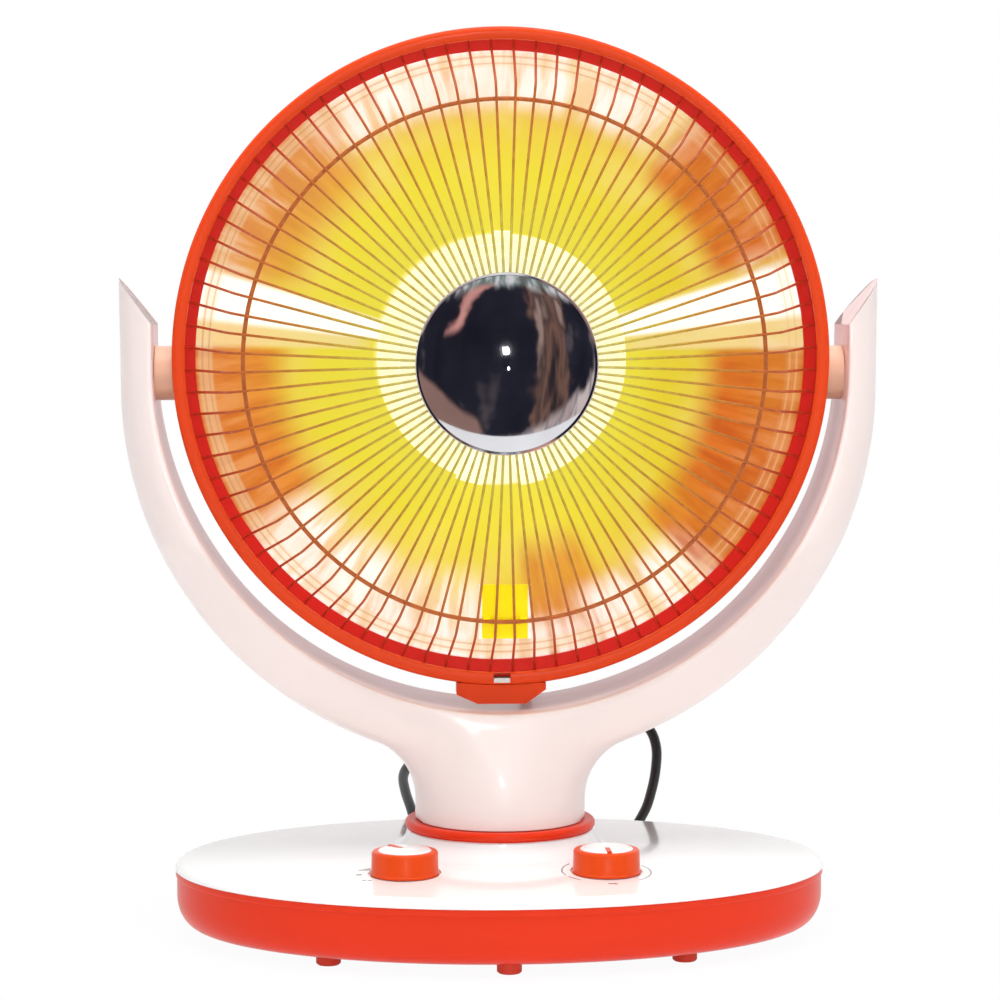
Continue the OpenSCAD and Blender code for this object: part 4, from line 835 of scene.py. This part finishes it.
def domed_cap():
    """Pressed cap with a rolled lip and a small dimple in its middle."""
    sphere = (DOME_R ** 2 + DOME_H ** 2) / (2 * DOME_H)
    turn = math.degrees(math.asin(DOME_R / sphere))
    lip = arc(DOME_R - 0.8, 0.8, 0.8, 0.8, -150, 60, 10)
    top = arc(0, DOME_H - sphere, sphere, sphere, 90 - turn + 1.2, 90, 40)
    dimple = [(r, z - 0.35 * math.exp(-(r / 1.6) ** 2)) for r, z in top]
    inner = arc(0, DOME_H - sphere, sphere - 1, sphere - 1, 90, 90 - turn + 1.6, 20)
    points = lip + dimple + inner + [lip[0]]
    piece = turned("domed_cap", points, 144)
    return placed(piece, HEAD @ Matrix.Translation((0, 0, DOME_Z * MM)))


# ---- the lead ----

def smooth_route(points, steps):
    """A smooth line through the points, in metres."""
    line = []
    last = len(points) - 1
    for i in range(last):
        a, b, c, d = (Vector(points[k]) for k in (max(i - 1, 0), i, i + 1, min(i + 2, last)))
        for k in range(steps):
            t = k / steps
            line.append(b + 0.5 * t * (c - a + t * (2 * a - 5 * b + 4 * c - d + t * (3 * (b - c) + d - a))))
    line.append(Vector(points[-1]))
    return [p * MM for p in line]


def connecting_lead(jacket):
    line = smooth_route(LEAD_ROUTE, 6)
    curve = bpy.data.curves.new("connecting_lead", "CURVE")
    curve.dimensions = "3D"
    spline = curve.splines.new("POLY")
    spline.points.add(len(line) - 1)
    for point, place in zip(spline.points, line):
        point.co = (*place, 1)
    curve.bevel_depth = LEAD_D / 2 * MM
    curve.bevel_resolution = 3
    curve.use_fill_caps = True
    lead = bpy.data.objects.new("connecting_lead", curve)
    bpy.context.scene.collection.objects.link(lead)
    chosen(lead)
    bpy.ops.object.convert(target="MESH")
    lead = bpy.context.object
    lead.data.materials.clear()
    lead.data.materials.append(jacket)
    done(lead, 60)
    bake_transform(lead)
    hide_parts("head_lead")
    return lead


# ---- the studio ----

def studio_card(name, place, turn, size, finish):
    """A card that only reflections show."""
    nothing_selected()
    bpy.ops.mesh.primitive_plane_add(size=1)
    card = bpy.context.object
    card.name = card.data.name = name
    card.data.materials.append(finish)
    placed(card, Matrix.Translation(place) @ Matrix.Rotation(math.radians(turn), 4, "X")
           @ Matrix.Diagonal((size[0], size[1], 1, 1)))
    card.visible_camera = card.visible_diffuse = card.visible_shadow = False
    card.visible_transmission = False


def studio_dark():
    """What stands in front of the heater, as the cap mirrors it: a dim room with brown and rosy shapes."""
    f = Finish("studio_dark")
    parts = f.add("ShaderNodeSeparateXYZ")
    f.link(f.place, parts.inputs["Vector"])
    depth = f.math("MAXIMUM", f.times(parts.outputs["Y"], -1 / 3), 0.02)
    across = f.math("DIVIDE", parts.outputs["X"], depth)
    height = f.math("DIVIDE", f.math("SUBTRACT", parts.outputs["Z"], HEAD_Z), depth)
    spot = f.add("ShaderNodeCombineXYZ")
    f.link(across, spot.inputs["X"])
    f.link(height, spot.inputs["Z"])
    clouds = f.noise(0.5, 3, stretch=(1, 1, 0.7), at=spot.outputs["Vector"])
    folds = f.noise(1.0, 3, stretch=(1.1, 1, 0.22), at=spot.outputs["Vector"])
    sway = f.math("ADD", across, f.spread(clouds, -1.5, 1.5))
    room = f.ramp(clouds, [(0.35, tone(30, 30, 42)), (0.62, tone(42, 42, 54)), (0.7, tone(84, 76, 80))])
    brown = f.times(f.band(sway, 1.2, 3.4, 0.15), f.spread(folds, 0.4, 1.0, 0.38, 0.5))
    room = f.mix(brown, room, f.ramp(folds, [(0.4, tone(62, 48, 46)), (0.5, tone(128, 96, 84)),
                                             (0.6, tone(84, 66, 62)), (0.68, tone(168, 140, 130))]))
    slant = f.math("ADD", sway, f.times(height, -0.5))
    rosy = f.times(f.band(slant, -3.5, -2.9, 0.2), f.band(height, 1.2, 4.4, 0.3))
    room = f.mix(rosy, room, tone(226, 160, 150))
    lean = f.math("ADD", height, f.times(sway, 0.4))
    warm = f.times(f.smooth(lean, -2.6, -3.2), f.smooth(sway, -0.4, -1.0))
    room = f.mix(warm, room, tone(156, 122, 112))
    edge = f.most(f.smooth(sway, -5.6, -7.4), f.smooth(sway, 6.4, 8.2))
    room = f.mix(f.times(edge, 0.75), room, tone(176, 168, 172))
    above = f.smooth(f.math("ADD", height, f.spread(folds, -1.2, 1.2)), 3.4, 4.6)
    room = f.mix(above, room, f.ramp(folds, [(0.4, tone(120, 112, 114)), (0.48, tone(118, 138, 130)),
                                             (0.56, tone(236, 236, 236)), (0.62, tone(134, 124, 126))]))
    low = f.math("ADD", height, f.times(sway, -0.45))
    below = f.smooth(f.math("ADD", low, f.spread(folds, -0.9, 0.9)), -3.4, -4.2)
    room = f.mix(below, room, f.ramp(folds, [(0.42, tone(196, 176, 170)), (0.5, tone(150, 140, 148)),
                                             (0.58, tone(222, 206, 200))]))
    glow = f.add("ShaderNodeEmission")
    f.link(room, glow.inputs["Color"])
    f.link(glow.outputs[0], f.nodes["Material Output"].inputs["Surface"])
    return f.material


def seen_directly(nodes, links):
    """1 for a ray from the camera, or one mirrored or refracted; 0 for light that falls on things."""
    path = nodes.new("ShaderNodeLightPath")
    share = path.outputs["Is Camera Ray"]
    for kind in ("Is Glossy Ray", "Is Transmission Ray"):
        either = nodes.new("ShaderNodeMath")
        either.operation = "MAXIMUM"
        links.new(share, either.inputs[0])
        links.new(path.outputs[kind], either.inputs[1])
        share = either.outputs[0]
    return share


def studio_floor():
    """Pale floor that keeps a faint shadow near the heater and turns to plain white further out."""
    nothing_selected()
    bpy.ops.mesh.primitive_circle_add(vertices=96, radius=6, fill_type="NGON")
    floor = bpy.context.object
    floor.name = floor.data.name = "studio_floor"
    f = Finish("studio_floor")
    away = f.add("ShaderNodeVectorMath", operation="LENGTH")
    f.link(f.place, away.inputs[0])
    plain = f.spread(away.outputs["Value"], 0.955, 1.0, 0.12, 0.26)
    f.set(Base_Color=tone(252, 252, 252), Roughness=0.6)
    glow = f.add("ShaderNodeEmission")
    join = f.add("ShaderNodeMixShader")
    f.link(f.times(plain, seen_directly(f.nodes, f.links)), join.inputs[0])
    f.link(f.shader.outputs[0], join.inputs[1])
    f.link(glow.outputs[0], join.inputs[2])
    f.link(join.outputs[0], f.nodes["Material Output"].inputs["Surface"])
    floor.data.materials.append(f.material)


def white_world(fill):
    """White where it is looked at, and a soft fill light everywhere else."""
    world = bpy.data.worlds.new("studio")
    bpy.context.scene.world = world
    world.use_nodes = True
    nodes, links = world.node_tree.nodes, world.node_tree.links
    shade, white = nodes["Background"], nodes.new("ShaderNodeBackground")
    for light, strength in ((shade, fill), (white, 1.0)):
        light.inputs["Color"].default_value = (1, 1, 1, 1)
        light.inputs["Strength"].default_value = strength
    join = nodes.new("ShaderNodeMixShader")
    links.new(seen_directly(nodes, links), join.inputs[0])
    links.new(shade.outputs[0], join.inputs[1])
    links.new(white.outputs[0], join.inputs[2])
    links.new(join.outputs[0], nodes["World Output"].inputs["Surface"])


def softbox(name, place, aim, size, power, shines):
    lamp = bpy.data.lights.new(name, "AREA")
    lamp.shape = "RECTANGLE"
    lamp.size, lamp.size_y = size
    lamp.energy = power
    holder = bpy.data.objects.new(name, lamp)
    bpy.context.scene.collection.objects.link(holder)
    holder.location = place
    holder.rotation_euler = (Vector(aim) - Vector(place)).to_track_quat("-Z", "Y").to_euler()
    holder.visible_glossy = shines


def studio():
    studio_floor()
    white_world(0.5)
    softbox("front_softbox", (0.1, -2.2, 0.7), (0, 0, 0.25), (0.9, 0.9), 6, False)
    softbox("over_softbox", (0.1, -0.5, 2.2), (0, 0, 0.1), (1.2, 1.2), 34, False)
    softbox("small_lamp", (0.05, -2.2, 0.5), (0, 0, 0.2), (0.1, 0.14), 2.4, True)
    dim = studio_dark()
    studio_card("studio_front_card", (0, -3, 2.9), 90, (16, 5.8), dim)
    studio_card("studio_low_card", (0, -1.62, 0.003), 0, (16, 2.76), dim)
    bpy.context.scene.view_settings.view_transform = "Standard"


# ---- putting it together ----

photo_camera()

orange = moulded("orange_moulding", (232, 52, 12), 0.3, coat=0.03, drift=0.03, skin=0.01, shine=0.22)
knob_orange = moulded("knob_orange", (232, 74, 16), 0.3, coat=0.03, drift=0.03, skin=0.01, shine=0.25)
rim_orange = moulded("rim_orange", (234, 68, 12), 0.34, coat=0.03, drift=0.04, skin=0.02, shine=0.25)
shell_red = moulded("shell_red", (222, 30, 26), 0.38, coat=0.03, drift=0.04, skin=0.02, shine=0.25)
white = moulded("white_moulding", (248, 233, 229), 0.3, coat=0.2, drift=0.012, skin=0.02)
cover_white = moulded("cover_white", (254, 253, 253), 0.14, coat=0.4, drift=0.008, skin=0.01)
cover_printed = printed_cover("cover_printed")
cream = moulded("cream_moulding", (244, 204, 174), 0.34, coat=0.2, drift=0.02)
nylon = matt("natural_nylon", (228, 222, 206), 0.5, 400, 0.08)
rubber = matt("black_rubber", (22, 22, 23), 0.62, 700, 0.2)
jacket = matt("lead_jacket", (24, 24, 25), 0.4, 350, 0.06)
foot_rubber = matt("foot_rubber", (230, 66, 38), 0.55, 600, 0.2)
black_plastic = matt("black_plastic", (24, 24, 26), 0.5, 800, 0.15)
steel = metal("plated_steel", (206, 208, 212), 0.32)
iron = metal("ballast_iron", (92, 92, 96), 0.6, (120, 120, 120), 0.2)
dull_sheet = metal("dull_sheet", (196, 194, 190), 0.45, (60, 60, 60))
brass = metal("turned_brass", (212, 168, 86), 0.28, (300, 300, 1200))
ceramic = matt("fired_ceramic", (232, 226, 210), 0.35, 500, 0.1)
lit_ceramic = lit_piece("lit_ceramic", (250, 243, 206), 0.62)
lit_steel = lit_piece("lit_steel", (250, 242, 200), 0.62)
catch = catch_plate("catch_plate")
wire = wire_painted_glow("wire_painted_glow")
chrome = mirror_chrome("mirror_chrome")
dish = painted_glow_dish("painted_glow_dish")
lit = lit_tube("lit_tube")
carbon = matt("woven_carbon", (40, 34, 30), 0.6, 900, 0.3)
label = labelled_plate("labelled_plate")

CARRIED = {
    orange: ["collar_ring", "tip_plunger", "base_tray"],
    knob_orange: ["timer_pointer", "heat_pointer", "timer_knob", "heat_knob"],
    rim_orange: ["head_rim", "rim_latch", "rear_cover"],
    shell_red: ["bowl"],
    white: ["yoke_front", "yoke_back"],
    cover_white: ["timer_cap", "heat_cap"],
    cover_printed: ["base_top"],
    cream: ["pivot_hubs"],
    nylon: ["swivel_bush", "motor_pinion", "sector_gear", "pivot_bushes"],
    rubber: ["mains_gland", "neck_gland", "head_gland"],
    jacket: ["head_lead"],
    foot_rubber: ["feet"],
    black_plastic: ["heat_switch", "tip_switch", "thermal_cutout"],
    steel: ["thrust_washer", "base_screws", "motor", "timer_body", "tip_spring", "spindle", "circlip",
            "neck_screws", "yoke_screws", "pivot_bolts", "cover_screws", "latch_screw",
            "guard_plate", "element_bracket"],
    catch: ["latch_tongue"],
    lit_steel: ["tube_support"],
    lit_ceramic: ["tube_ends"],
    iron: ["ballast_plate"],
    brass: ["timer_shaft", "heat_shaft"],
    ceramic: ["base_terminals", "head_terminals"],
    wire: ["guard_outer_ring", "guard_wires", "guard_middle_ring", "guard_inner_ring"],
    chrome: ["center_dome"],
    dish: ["reflector"],
    lit: ["heater_tube"],
    carbon: ["carbon_ribbon"],
    label: ["guard_tag"],
}
for finish, names in CARRIED.items():
    for name in names:
        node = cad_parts[name]
        node.data.materials.clear()
        node.data.materials.append(finish)

connecting_lead(jacket)

fitted(yoke_shell("yoke_front_shell", -1), "yoke", white, "white_plastic", "yoke_front")
fitted(yoke_shell("yoke_back_shell", 1), "yoke", white, "white_plastic", "yoke_back")
fitted(base_pan(), "base", orange, "red_plastic", "base_tray")
fitted(base_cover(), "base", cover_printed, "white_plastic", "base_top")
fitted(knob_body("timer_knob_body", -1), "timer_dial", knob_orange, "red_plastic", "timer_knob")
fitted(knob_body("heat_knob_body", 1), "heat_dial", knob_orange, "red_plastic", "heat_knob")
fitted(front_rim(), "head", rim_orange, "orange_shell", "head_rim")
fitted(reflector_dish(), "head", [dish, dull_sheet], "gold_reflector", "reflector")
fitted(guard_cage(), "head", wire, "guard_wire", "guard_wires")
fitted(domed_cap(), "head", chrome, "chrome", "center_dome")

studio()
